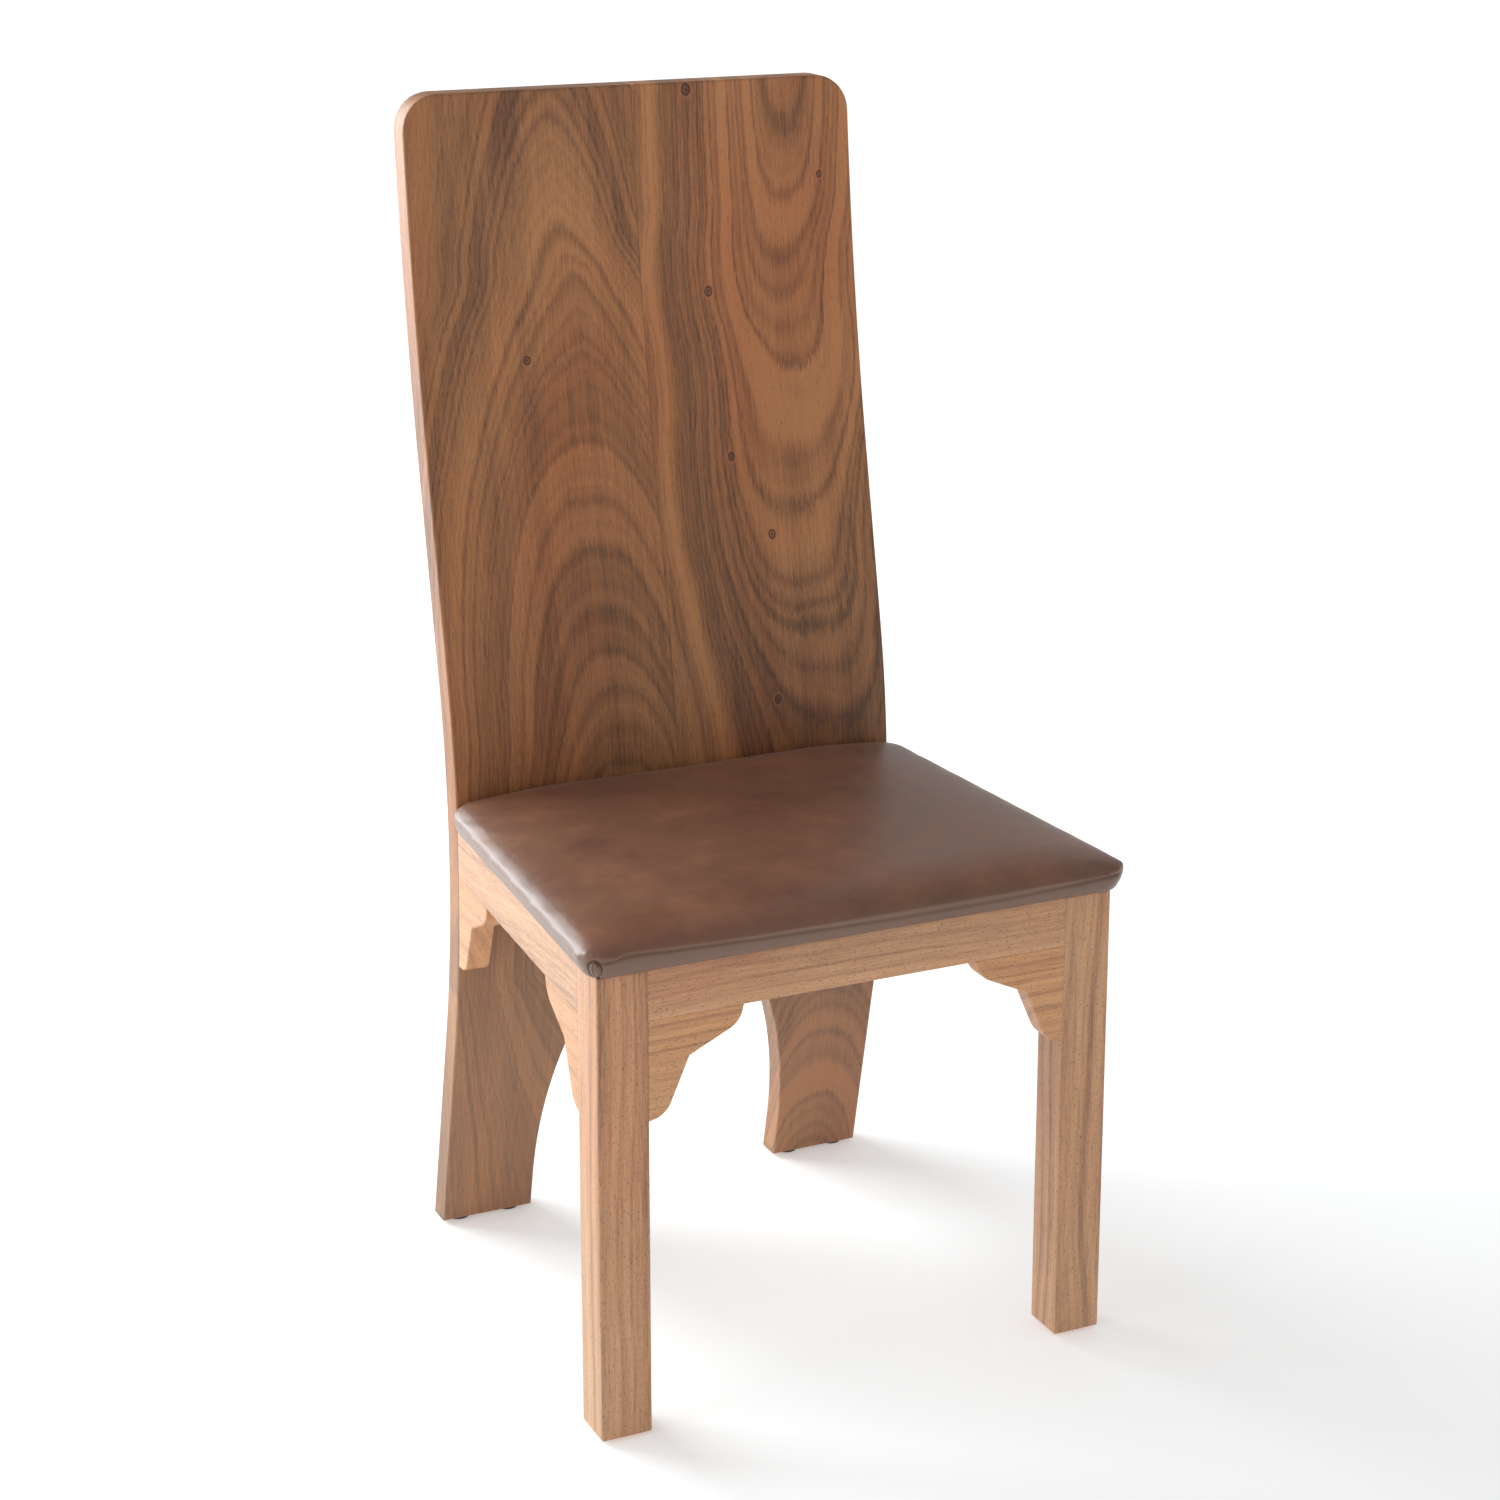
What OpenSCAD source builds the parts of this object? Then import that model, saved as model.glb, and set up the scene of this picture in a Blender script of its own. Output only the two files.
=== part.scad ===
// High-backed chair: a curved two-board back that reaches the floor, two front legs,
// seat rails with scrolled brackets, and a leather slip seat screwed to corner blocks.
// X runs across the chair, -Y is the front, Z is up from the floor.
// The origin is on the floor under the middle of the chair's box.

/* [Overall] */
// Width over the front legs
front_w = 482; // [400:1:600]
// Width of the back
back_w = 440; // [360:1:540]
// Height of the back's top edge above the floor
total_h = 1076; // [850:1:1300]
// Height of the top of the seat rails above the floor
rail_top = 421; // [370:1:480]
// Front of the legs to the most forward line of the back
seat_depth = 383; // [320:1:460]

/* [Back] */
// Thickness of the back boards
back_t = 27; // [22:1:36]
// Lean of the rear feet, in degrees
foot_lean = 13; // [5:0.5:18]
// Height of the back's most forward line above the floor
bend_h = 390; // [330:1:460]
// Radius of the bend at seat height
bend_r = 860; // [600:10:1100]
// Lean of the back above the bend, in degrees
back_lean = 11.6; // [5:0.1:16]
// Length of the straight stretch above the bend
back_straight = 174; // [80:1:240]
// Radius of the reverse curve up to the top edge
top_r = 2700; // [1600:50:4000]
// Radius of the two top corners
top_corner_r = 33; // [10:1:60]
// Width of the arch between the rear feet
arch_w = 261; // [180:1:300]
// Height at which the arch begins to close
arch_spring_h = 41; // [10:1:80]
// Height of the arch's crown
arch_top_h = 292; // [220:1:320]

/* [Front legs] */
// Width of a front leg, seen from the front
leg_w = 45; // [36:1:60]
// Depth of a front leg
leg_d = 43; // [36:1:60]

/* [Rails] */
// Height of the seat rails
rail_h = 45; // [38:1:60]
// Thickness of the seat rails and brackets
rail_t = 22; // [18:1:28]
// Thickness of the rear rail
rear_rail_t = 22; // [18:1:28]

/* [Brackets] */
// Reach of a bracket along its rail
bracket_w = 86; // [60:1:95]
// Drop of a bracket below its rail
bracket_h = 89; // [60:1:95]
// Radius of a bracket's two rounded lobes
lobe_r = 22; // [14:1:26]
// Distance of the notch between the lobes from each straight edge
notch_in = 37; // [30:1:42]

/* [Corner blocks] */
// Length of a corner block along a rail
block_leg = 80; // [65:1:95]
// Height of a corner block
block_h = 32; // [24:1:36]
// Drop of a corner block below the top of the rails
block_drop = 2; // [1:1:6]

/* [Seat] */
// Thickness of the seat board
board_t = 12; // [9:1:18]
// Thickness of the foam
foam_t = 18; // [15:1:40]
// Thickness of the leather
leather_t = 1.4; // [1:0.1:2]
// Thickness of the dust cover
dust_t = 0.8; // [0.7:0.1:1.2]
// How far the seat stands out past the front legs
seat_overhang = 4; // [0:1:12]
// How far the seat stands out past the side of each front leg
seat_side = 6; // [0:1:12]
// Clearance between the seat and the back
seat_gap = 1; // [0.5:0.5:4]
// Corner radius of the seat
seat_corner_r = 12; // [4:1:30]
// Width of the leather turned under the board
turn_under = 36; // [30:1:50]

/* [Fasteners] */
// Diameter of the rail and back dowels
dowel_d = 8; // [6:1:10]
// Length of the rail and back dowels
dowel_l = 50; // [40:1:60]
// Diameter of the bracket dowels
bracket_dowel_d = 6; // [5:1:8]
// Length of the bracket dowels
bracket_dowel_l = 30; // [24:1:36]
// Shank diameter of the screws
screw_d = 4.2; // [3.5:0.1:5]
// Head diameter of the screws
screw_head_d = 8.4; // [7:0.1:10]
// Diameter of a foot glide
glide_d = 20; // [16:1:24]
// Thickness of a foot glide
glide_t = 3; // [2:0.5:5]
// Length of a glide's nail
glide_nail_l = 16; // [12:1:20]
// Spacing of the staples round the seat board
staple_pitch = 45; // [35:5:60]

/* [Hidden] */
$fn = 48;

wood = [0.55, 0.38, 0.28];
dowel_wood = [0.80, 0.68, 0.50];
steel = [0.70, 0.70, 0.72];
leather = [0.40, 0.26, 0.20];

// ---- side profile of the back -------------------------------------------------
// The front line is followed upwards from a point below the floor: straight foot, bend,
// straight stretch, reverse curve. Each entry is [y, z, lean]; lean is from the vertical,
// negative towards the front. y counts back from the front of the legs.
run_on = 60; // how far the lines run on below the floor and above the top edge
foot_straight = (bend_h - bend_r * sin(foot_lean)) / cos(foot_lean) + run_on;
bend_steps = 14;
top_steps = 10;
bend_y = seat_depth + bend_r;
bend_line = [for (i = [0:bend_steps])
    let (a = -foot_lean + (foot_lean + back_lean) * i / bend_steps)
    [bend_y - bend_r * cos(a), bend_h + bend_r * sin(a), a]];
bend_end = bend_line[bend_steps];
straight_end = [bend_end[0] + back_straight * sin(back_lean),
                bend_end[1] + back_straight * cos(back_lean)];
top_turn = asin(min(0.9, (total_h + run_on - straight_end[1]) / top_r));
top_line = [for (i = [0:top_steps])
    let (a = back_lean - top_turn * i / top_steps)
    [straight_end[0] + top_r * (cos(a) - cos(back_lean)),
     straight_end[1] + top_r * (sin(back_lean) - sin(a)), a]];
foot_end = [bend_line[0][0] + foot_straight * sin(foot_lean),
            bend_line[0][1] - foot_straight * cos(foot_lean), -foot_lean];
front_line = concat([foot_end], bend_line, top_line);
rear_line = [for (p = front_line) [p[0] + back_t * cos(p[2]), p[1] - back_t * sin(p[2]), p[2]]];

// y of a profile line at height z
function line_y(line, z) = lookup(z, [for (p = line) [p[1], p[0]]]);

// How deep dowels and screws go into the back
back_hold = back_t * 2 / 3;

// ---- where the front of the legs lies, with the whole box centred on y = 0 ------
back_y = max(line_y(rear_line, total_h), line_y(rear_line, glide_t));
front_y = (seat_overhang - back_y) / 2;

rail_bottom = rail_top - rail_h;
leg_back = front_y + leg_d;
back_face = front_y + seat_depth;
// Inner corners of the seat frame on the right
front_corner = [front_w / 2 - rail_t, front_y + rail_t];
rear_corner = [back_w / 2 - rail_t, back_face - rear_rail_t];
frame_in_x = front_w / 2 - leg_w;
// Splay of the side rails, from the rear corner of the leg to the edge of the back
splay = atan((front_w - back_w) / 2 / (seat_depth - leg_d));
side_l = (seat_depth - leg_d) / cos(splay);

seat_z = rail_top;
leather_z = seat_z + dust_t;
board_z = leather_z + leather_t;
foam_z = board_z + board_t;
cover_top = foam_z + foam_t + leather_t;

// How far a cut runs past the faces that it goes through
cut = 1;

// ---- shared shapes ---------------------------------------------------------------
// The back's whole side profile as a blank across the chair, w wide from x
module back_blank(x, w) {
    translate([x, front_y, 0])
        rotate([90, 0, 90])
            linear_extrude(w)
                intersection() {
                    polygon([for (p = concat(front_line, [for (i = [len(rear_line) - 1:-1:0])
                        rear_line[i]])) [p[0], p[1]]]);
                    translate([0, glide_t]) square([2 * seat_depth, total_h - glide_t]);
                }
}

// Half of the arch, open at the bottom, as points from the crown down
arch_steps = 20;
arch_half = concat(
    [for (i = [0:arch_steps]) let (a = 90 - 90 * i / arch_steps)
        [arch_w / 2 * cos(a), arch_spring_h + (arch_top_h - arch_spring_h) * sin(a)]],
    [[arch_w / 2, -cut], [0, -cut]]);

// One back board on the +X side
module back_board() {
    difference() {
        intersection() {
            back_blank(0, back_w / 2);
            translate([0, front_y + 2 * seat_depth, 0])
                rotate([90, 0, 0])
                    linear_extrude(2 * seat_depth)
                        board_front();
        }
        back_joint_dowel_set();
        side_rail_dowel_set();
        bracket_dowel_set();
        rear_rail_screw_set();
        glide_set();
    }
}

// Front view of one back board: arch, straight edges, rounded top corner
module board_front() {
    difference() {
        union() {
            square([back_w / 2, total_h - top_corner_r]);
            square([back_w / 2 - top_corner_r, total_h]);
            translate([back_w / 2 - top_corner_r, total_h - top_corner_r])
                circle(top_corner_r);
        }
        polygon(arch_half);
    }
}

// Everything on the right side is built in a frame that starts at the leg's rear outer
// corner, runs back along the rail's outer face, and has the rail's thickness inwards.
module along_side() {
    translate([front_w / 2, leg_back, 0])
        rotate([0, 0, 90 + splay])
            children();
}

// Keeps a side piece behind the leg and in front of the back
module between_leg_and_back() {
    difference() {
        intersection() {
            children();
            translate([0, leg_back, 0])
                cube([front_w, seat_depth - leg_d + back_t / 2, total_h]);
        }
        back_blank(0, front_w);
    }
}

// Bracket outline: straight edges on the axes, lobes at both tips, notch between them.
// scribe is extra wood past the upright edge, to be cut to a curved face.
module bracket_outline(scribe) {
    lobe_a = [bracket_w - lobe_r, 0];
    lobe_b = [0, bracket_h - lobe_r];
    intersection() {
        union() {
            translate(lobe_a) circle(lobe_r);
            translate(lobe_b) circle(lobe_r);
            polygon([[0, 0], lobe_a, lobe_tangent(lobe_a, 1), [notch_in, notch_in],
                     lobe_tangent(lobe_b, -1), lobe_b]);
        }
        square([bracket_w, bracket_h]);
    }
    if (scribe > 0) translate([-scribe, 0]) square([scribe, bracket_h]);
}

// Point where the line from the notch touches a lobe's circle; turn picks the side
function lobe_tangent(c, turn) =
    let (d = c - [notch_in, notch_in],
         reach = norm(d),
         base = atan2(-d[1], -d[0]),
         off = acos(lobe_r / reach))
    c + lobe_r * [cos(base - turn * off), sin(base - turn * off)];

// A bracket with its corner at the origin, reaching along +X and down, thick along +Y
module bracket_solid(scribe = 0) {
    rotate([-90, 0, 0])
        linear_extrude(rail_t)
            bracket_outline(scribe);
}

// A dowel or hole of length l centred on the origin along X, Y or Z
module rod_x(d, l) { rotate([0, 90, 0]) cylinder(d = d, h = l, center = true); }
module rod_y(d, l) { rotate([90, 0, 0]) cylinder(d = d, h = l, center = true); }
module rod_z(d, l) { cylinder(d = d, h = l, center = true); }

// A countersunk wood screw: head at z = 0 facing up, shank down to -l with a point.
// access is the depth of the open hole above the head, where the screw is set in.
module screw(l, access = 0) {
    head_h = (screw_head_d - screw_d) / 2;
    tip_h = screw_d;
    tip_d = 0.6;
    if (access > 0) cylinder(d = screw_head_d, h = access);
    translate([0, 0, -head_h]) cylinder(d1 = screw_d, d2 = screw_head_d, h = head_h);
    translate([0, 0, -l + tip_h]) cylinder(d = screw_d, h = l - tip_h - head_h);
    translate([0, 0, -l]) cylinder(d1 = tip_d, d2 = screw_d, h = tip_h);
}

// ---- back --------------------------------------------------------------------------
// Dowels across the glue line, evenly from above the arch's crown to below the top edge
joint_count = 5;
joint_end = 60;
joint_heights = [for (i = [0:joint_count - 1])
    arch_top_h + joint_end + (total_h - arch_top_h - 2 * joint_end) * i / (joint_count - 1)];

module back_joint_dowel_set() {
    for (z = joint_heights)
        translate([0, front_y + (line_y(front_line, z) + line_y(rear_line, z)) / 2, z])
            rod_x(dowel_d, dowel_l);
}

module back_joint_dowels() {
    color(dowel_wood) back_joint_dowel_set();
}

module back_board_right() {
    color(wood) back_board();
}

module back_board_left() {
    color(wood) mirror([1, 0, 0]) back_board();
}

// ---- front legs ------------------------------------------------------------------------
module front_leg() {
    color(wood)
        difference() {
            translate([frame_in_x, front_y, glide_t])
                cube([leg_w, leg_d, rail_top - glide_t]);
            front_rail_dowel_set();
            side_rail_dowel_set();
            bracket_dowel_set();
            glide_set();
        }
}

module front_leg_right() { front_leg(); }
module front_leg_left() { mirror([1, 0, 0]) front_leg(); }

// ---- rails -------------------------------------------------------------------------------
// Dowel heights in a rail, a quarter in from its top and bottom edges
rail_dowel_z = [rail_bottom + rail_h / 4, rail_top - rail_h / 4];

module front_rail_dowel_set() {
    for (x = [-frame_in_x, frame_in_x], z = rail_dowel_z)
        translate([x, front_y + rail_t / 2, z]) rod_x(dowel_d, dowel_l);
}

module side_rail_dowel_set() {
    for (s = [-1, 1], z = rail_dowel_z) {
        translate([s * (front_w / 2 - rail_t / 2), leg_back, z]) rod_y(dowel_d, dowel_l);
        translate([s * (back_w / 2 - rail_t / 2), back_face + back_hold - dowel_l / 2, z])
            rod_y(dowel_d, dowel_l);
    }
}

module front_rail_dowels() { color(dowel_wood) front_rail_dowel_set(); }
module side_rail_dowels() { color(dowel_wood) side_rail_dowel_set(); }

module front_rail() {
    color(wood)
        difference() {
            translate([-frame_in_x, front_y, rail_bottom])
                cube([2 * frame_in_x, rail_t, rail_h]);
            front_rail_dowel_set();
            bracket_dowel_set();
            corner_block_screw_set();
        }
}

// The blank runs past the leg and the back, and is cut to both
module side_rail_blank() {
    between_leg_and_back()
        along_side()
            translate([-rail_t, 0, rail_bottom])
                cube([side_l + 3 * rail_t, rail_t, rail_h]);
}

module side_rail() {
    color(wood)
        difference() {
            side_rail_blank();
            side_rail_dowel_set();
            bracket_dowel_set();
            corner_block_screw_set();
        }
}

module side_rail_right() { side_rail(); }
module side_rail_left() { mirror([1, 0, 0]) side_rail(); }

module rear_rail_blank() {
    difference() {
        translate([-back_w / 2, back_face - rear_rail_t, rail_bottom])
            cube([back_w, 2 * rear_rail_t, rail_h]);
        back_blank(-front_w, 2 * front_w);
        for (s = [0, 1]) mirror([s, 0, 0])
            along_side()
                translate([-rail_t, -front_w, rail_bottom - cut])
                    cube([side_l + 3 * rail_t, front_w + rail_t, rail_h + 2 * cut]);
    }
}

// Four screws, evenly spaced over the stretch between the rear corner blocks
rear_screw_l = rear_rail_t + back_hold;
rear_screw_reach = rear_corner[0] - block_leg - screw_head_d;

module rear_rail_screw_set() {
    for (i = [-1, -1/3, 1/3, 1])
        translate([i * rear_screw_reach, back_face - rear_rail_t, (rail_top + rail_bottom) / 2])
            rotate([90, 0, 0]) screw(rear_screw_l);
}

module rear_rail_screws() { color(steel) rear_rail_screw_set(); }

module rear_rail() {
    color(wood)
        difference() {
            rear_rail_blank();
            rear_rail_screw_set();
            corner_block_screw_set();
        }
}

// ---- brackets ------------------------------------------------------------------------
// Each bracket's vertical dowel and level dowel sit at half of its reach and drop
module front_bracket_place() {
    translate([frame_in_x, front_y, rail_bottom])
        mirror([1, 0, 0]) children();
}

module front_bracket() {
    color(wood)
        difference() {
            front_bracket_place() bracket_solid();
            bracket_dowel_set();
        }
}

module front_bracket_right() { front_bracket(); }
module front_bracket_left() { mirror([1, 0, 0]) front_bracket(); }

module side_front_bracket_blank() {
    between_leg_and_back()
        along_side()
            translate([0, 0, rail_bottom]) bracket_solid();
}

module side_rear_bracket_blank() {
    between_leg_and_back()
        along_side()
            translate([side_l, 0, rail_bottom]) mirror([1, 0, 0]) bracket_solid(rail_t);
}

module side_bracket(rear) {
    color(wood)
        difference() {
            if (rear) side_rear_bracket_blank();
            else side_front_bracket_blank();
            bracket_dowel_set();
        }
}

module side_front_bracket_right() { side_bracket(false); }
module side_front_bracket_left() { mirror([1, 0, 0]) side_bracket(false); }
module side_rear_bracket_right() { side_bracket(true); }
module side_rear_bracket_left() { mirror([1, 0, 0]) side_bracket(true); }

module bracket_dowel_set() {
    level_z = rail_bottom - bracket_h / 2;
    up_in = bracket_w / 2;
    mid_t = rail_t / 2;
    for (s = [-1, 1]) {
        // front brackets
        translate([s * frame_in_x, front_y + mid_t, level_z])
            rod_x(bracket_dowel_d, bracket_dowel_l);
        translate([s * (frame_in_x - up_in), front_y + mid_t, rail_bottom])
            rod_z(bracket_dowel_d, bracket_dowel_l);
        // side brackets, level
        translate([s * (front_w / 2 - mid_t), leg_back, level_z])
            rod_y(bracket_dowel_d, bracket_dowel_l);
        translate([s * (back_w / 2 - mid_t), back_face, level_z])
            rod_y(bracket_dowel_d, bracket_dowel_l);
    }
    // side brackets, up into the rails
    for (s = [0, 1]) mirror([s, 0, 0])
        along_side()
            for (u = [up_in, side_l - up_in])
                translate([u, mid_t, rail_bottom]) rod_z(bracket_dowel_d, bracket_dowel_l);
}

module bracket_dowels() { color(dowel_wood) bracket_dowel_set(); }

// ---- corner blocks ------------------------------------------------------------------
block_top = rail_top - block_drop;
block_z = block_top - block_h;
block_screw_l = 30;
// Distance of a block's screws from the thin ends, and how deep their heads are set,
// so that a whole head lies inside the slanting face
block_screw_in = block_leg / 4;
block_screw_sink = screw_head_d / 2 + 0.3;

module corner_triangle(corner, dir) {
    translate([0, 0, block_z])
        linear_extrude(block_h)
            polygon([[corner[0] + rail_t, corner[1]],
                     [corner[0] + rail_t, corner[1] + dir * (block_leg + rail_t)],
                     [corner[0] - block_leg, corner[1]]]);
}

module block_front_right_blank() {
    difference() {
        corner_triangle(front_corner, 1);
        translate([frame_in_x, front_y - cut, 0]) cube([2 * leg_w, leg_d + cut, total_h]);
        along_side() translate([-leg_d - cut, -front_w, 0])
            cube([side_l + leg_d + cut, front_w + rail_t, total_h]);
    }
}

module block_rear_right_blank() {
    difference() {
        corner_triangle(rear_corner, -1);
        along_side() translate([-leg_d, -front_w, 0])
            cube([side_l + leg_d, front_w + rail_t, total_h]);
    }
}

module corner_block_front_right() { color(wood) drilled_block() block_front_right_blank(); }
module corner_block_rear_right() { color(wood) drilled_block() block_rear_right_blank(); }
module corner_block_front_left() { mirror([1, 0, 0]) corner_block_front_right(); }
module corner_block_rear_left() { mirror([1, 0, 0]) corner_block_rear_right(); }

module drilled_block() {
    difference() {
        children();
        corner_block_screw_set(block_leg / 2);
        seat_screw_set();
    }
}

// Screws from the block's long face into the two rails that it joins. dir is 1 at the
// front, where the block runs back from its corner, and -1 at the rear.
module block_screw_pair(corner, dir, access) {
    mid_z = block_z + block_h / 2;
    end_x = corner[0] - block_leg + block_screw_in;
    end_y = corner[1] + dir * (block_leg - block_screw_in);
    translate([end_x, corner[1] + dir * (block_screw_in - block_screw_sink), mid_z])
        rotate([-90 * dir, 0, 0]) screw(block_screw_l, access);
    translate([corner[0] - block_screw_in + block_screw_sink, end_y, mid_z])
        rotate([0, -90, 0]) screw(block_screw_l, access);
}

module corner_block_screw_set(access = 0) {
    for (s = [0, 1]) mirror([s, 0, 0]) {
        block_screw_pair(front_corner, 1, access);
        block_screw_pair(rear_corner, -1, access);
    }
}

module corner_block_screws() { color(steel) corner_block_screw_set(); }

// Screws up through the blocks into the seat board
screw_cover = 3; // wood left over a seat screw's point
seat_screw_l = foam_z - block_z - screw_cover;
// Distance of a seat screw from the inner corner of the frame, each way, as a share of the
// block's length. The front one is further in, past the leg.
front_screw_in = block_leg * 0.42;
rear_screw_in = block_leg * 0.3;

module seat_screw_set() {
    for (s = [-1, 1]) {
        translate([s * (front_corner[0] - front_screw_in), front_corner[1] + front_screw_in, block_z])
            rotate([180, 0, 0]) screw(seat_screw_l);
        translate([s * (rear_corner[0] - rear_screw_in), rear_corner[1] - rear_screw_in, block_z])
            rotate([180, 0, 0]) screw(seat_screw_l);
    }
}

module seat_screws() { color(steel) seat_screw_set(); }

// ---- slip seat ----------------------------------------------------------------------
// Plan of the seat, set in by d from the leather's outer face
module seat_plan(d) {
    front = front_y - seat_overhang + d;
    rear = back_face - seat_gap - d;
    half_front = front_w / 2 + seat_side - d;
    half_rear = back_w / 2 - d;
    r = max(1, seat_corner_r - d);
    difference() {
        polygon([[-half_front, front], [half_front, front], [half_rear, rear], [-half_rear, rear]]);
        for (s = [-1, 1]) {
            corner_cut([s * half_front, front], s, 1, r);
            corner_cut([s * half_rear, rear], s, -1, r);
        }
    }
}

// Rounds a corner of the plan: what lies outside the circle, from its centre to past the
// corner. s is the corner's side, and up is 1 at the front and -1 at the rear.
module corner_cut(corner, s, up, r) {
    reach = r + cut;
    translate([corner[0] - s * r, corner[1] + up * r])
        difference() {
            translate([s > 0 ? 0 : -reach, up > 0 ? -reach : 0]) square(reach);
            circle(r);
        }
}

module seat_board() {
    color("burlywood")
        difference() {
            translate([0, 0, board_z]) linear_extrude(board_t) seat_plan(leather_t);
            cover_staple_set();
            dust_staple_set();
            seat_screw_set();
        }
}

module seat_foam() {
    color("khaki")
        translate([0, 0, foam_z]) linear_extrude(foam_t) seat_plan(leather_t);
}

module seat_cover() {
    color(leather)
        difference() {
            translate([0, 0, leather_z]) linear_extrude(cover_top - leather_z) seat_plan(0);
            translate([0, 0, board_z]) linear_extrude(board_t + foam_t) seat_plan(leather_t);
            translate([0, 0, leather_z - cut])
                linear_extrude(leather_t + 2 * cut) seat_plan(turn_under);
            cover_staple_set();
        }
}

// How far the dust cover's edge stays inside the seat's edge
dust_in = 12;

module dust_cover() {
    color("black")
        difference() {
            translate([0, 0, seat_z]) linear_extrude(dust_t) seat_plan(dust_in);
            dust_staple_set();
            seat_screw_set();
        }
}

// A staple with its crown along X at z = 0 and its legs up
staple_w = 10;
staple_wire = 0.6;

module staple(leg_l) {
    translate([-staple_w / 2, -staple_wire / 2, 0]) cube([staple_w, staple_wire, staple_wire]);
    for (x = [-staple_w / 2, staple_w / 2 - staple_wire])
        translate([x, -staple_wire / 2, 0]) cube([staple_wire, staple_wire, leg_l]);
}

// A row of staples between two points, set clear of the corners
staple_end = 30;

module staple_row(a, b, z, leg_l) {
    reach = norm(b - a);
    count = floor((reach - 2 * staple_end) / staple_pitch);
    for (i = [0:count])
        translate([each (a + (b - a) * (0.5 + (i - count / 2) * staple_pitch / reach)), z])
            rotate([0, 0, atan2(b[1] - a[1], b[0] - a[0])])
                staple(leg_l);
}

module staple_ring(inset, z, leg_l) {
    f = front_y - seat_overhang + inset;
    r = back_face - seat_gap - inset;
    hf = front_w / 2 + seat_side - inset;
    hr = back_w / 2 - inset;
    staple_row([-hf, f], [hf, f], z, leg_l);
    staple_row([-hr, r], [hr, r], z, leg_l);
    for (s = [-1, 1]) staple_row([s * hf, f], [s * hr, r], z, leg_l);
}

// Leg length, and the distance of each row from the leather's cut edge
staple_leg = 8;
cover_staple_in = 10;
dust_staple_in = 8;

module cover_staple_set() { staple_ring(turn_under - cover_staple_in, leather_z, staple_leg); }
module dust_staple_set() { staple_ring(turn_under + dust_staple_in, seat_z, staple_leg); }
module cover_staples() { color(steel) cover_staple_set(); }
module dust_cover_staples() { color(steel) dust_staple_set(); }

// ---- glides ---------------------------------------------------------------------------
glide_nail_d = 2.4;
foot_w = (back_w - arch_w) / 2;

module glide() {
    cylinder(d = glide_d, h = glide_t);
    cylinder(d = glide_nail_d, h = glide_t + glide_nail_l);
}

module glide_set() {
    foot_y = front_y + (line_y(front_line, glide_t) + line_y(rear_line, glide_t)) / 2;
    for (s = [-1, 1]) {
        translate([s * (front_w - leg_w) / 2, front_y + leg_d / 2, 0]) glide();
        for (x = [glide_d, foot_w - glide_d])
            translate([s * (arch_w / 2 + x), foot_y, 0]) glide();
    }
}

module foot_glides() { color([0.12, 0.11, 0.10]) glide_set(); }

back_board_left();
back_board_right();
back_joint_dowels();
front_leg_left();
front_leg_right();
front_rail();
side_rail_left();
side_rail_right();
rear_rail();
rear_rail_screws();
front_rail_dowels();
side_rail_dowels();
front_bracket_left();
front_bracket_right();
side_front_bracket_left();
side_front_bracket_right();
side_rear_bracket_left();
side_rear_bracket_right();
bracket_dowels();
corner_block_front_left();
corner_block_front_right();
corner_block_rear_left();
corner_block_rear_right();
corner_block_screws();
seat_screws();
seat_board();
seat_foam();
seat_cover();
cover_staples();
dust_cover();
dust_cover_staples();
foot_glides();
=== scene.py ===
import math

import bmesh
import bpy
import numpy as np
from mathutils import Matrix, Vector


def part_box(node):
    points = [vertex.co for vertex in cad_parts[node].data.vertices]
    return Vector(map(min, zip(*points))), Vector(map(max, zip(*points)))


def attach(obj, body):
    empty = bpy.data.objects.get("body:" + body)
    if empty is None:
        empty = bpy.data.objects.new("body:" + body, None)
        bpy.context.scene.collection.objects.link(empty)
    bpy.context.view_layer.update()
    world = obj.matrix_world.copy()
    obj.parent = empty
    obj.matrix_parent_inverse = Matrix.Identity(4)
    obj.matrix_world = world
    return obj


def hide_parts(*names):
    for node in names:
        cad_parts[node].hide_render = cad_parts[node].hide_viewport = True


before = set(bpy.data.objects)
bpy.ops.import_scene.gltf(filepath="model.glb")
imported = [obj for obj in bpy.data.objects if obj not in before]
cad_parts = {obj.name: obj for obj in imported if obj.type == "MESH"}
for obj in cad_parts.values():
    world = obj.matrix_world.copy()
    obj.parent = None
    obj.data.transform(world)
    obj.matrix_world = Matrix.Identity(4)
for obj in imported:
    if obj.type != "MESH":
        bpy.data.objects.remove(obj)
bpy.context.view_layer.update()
print("frame loaded")

# Camera: a three quarter view from the front left, a little above the seat.
view = dict(place=(-1.1757, -2.5639, 1.4276), yaw=-26.216, pitch=15.495, roll=0.355,
            lens=79.28, sensor=36, shiftX=-0.04986, shiftY=-0.09934)


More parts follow.
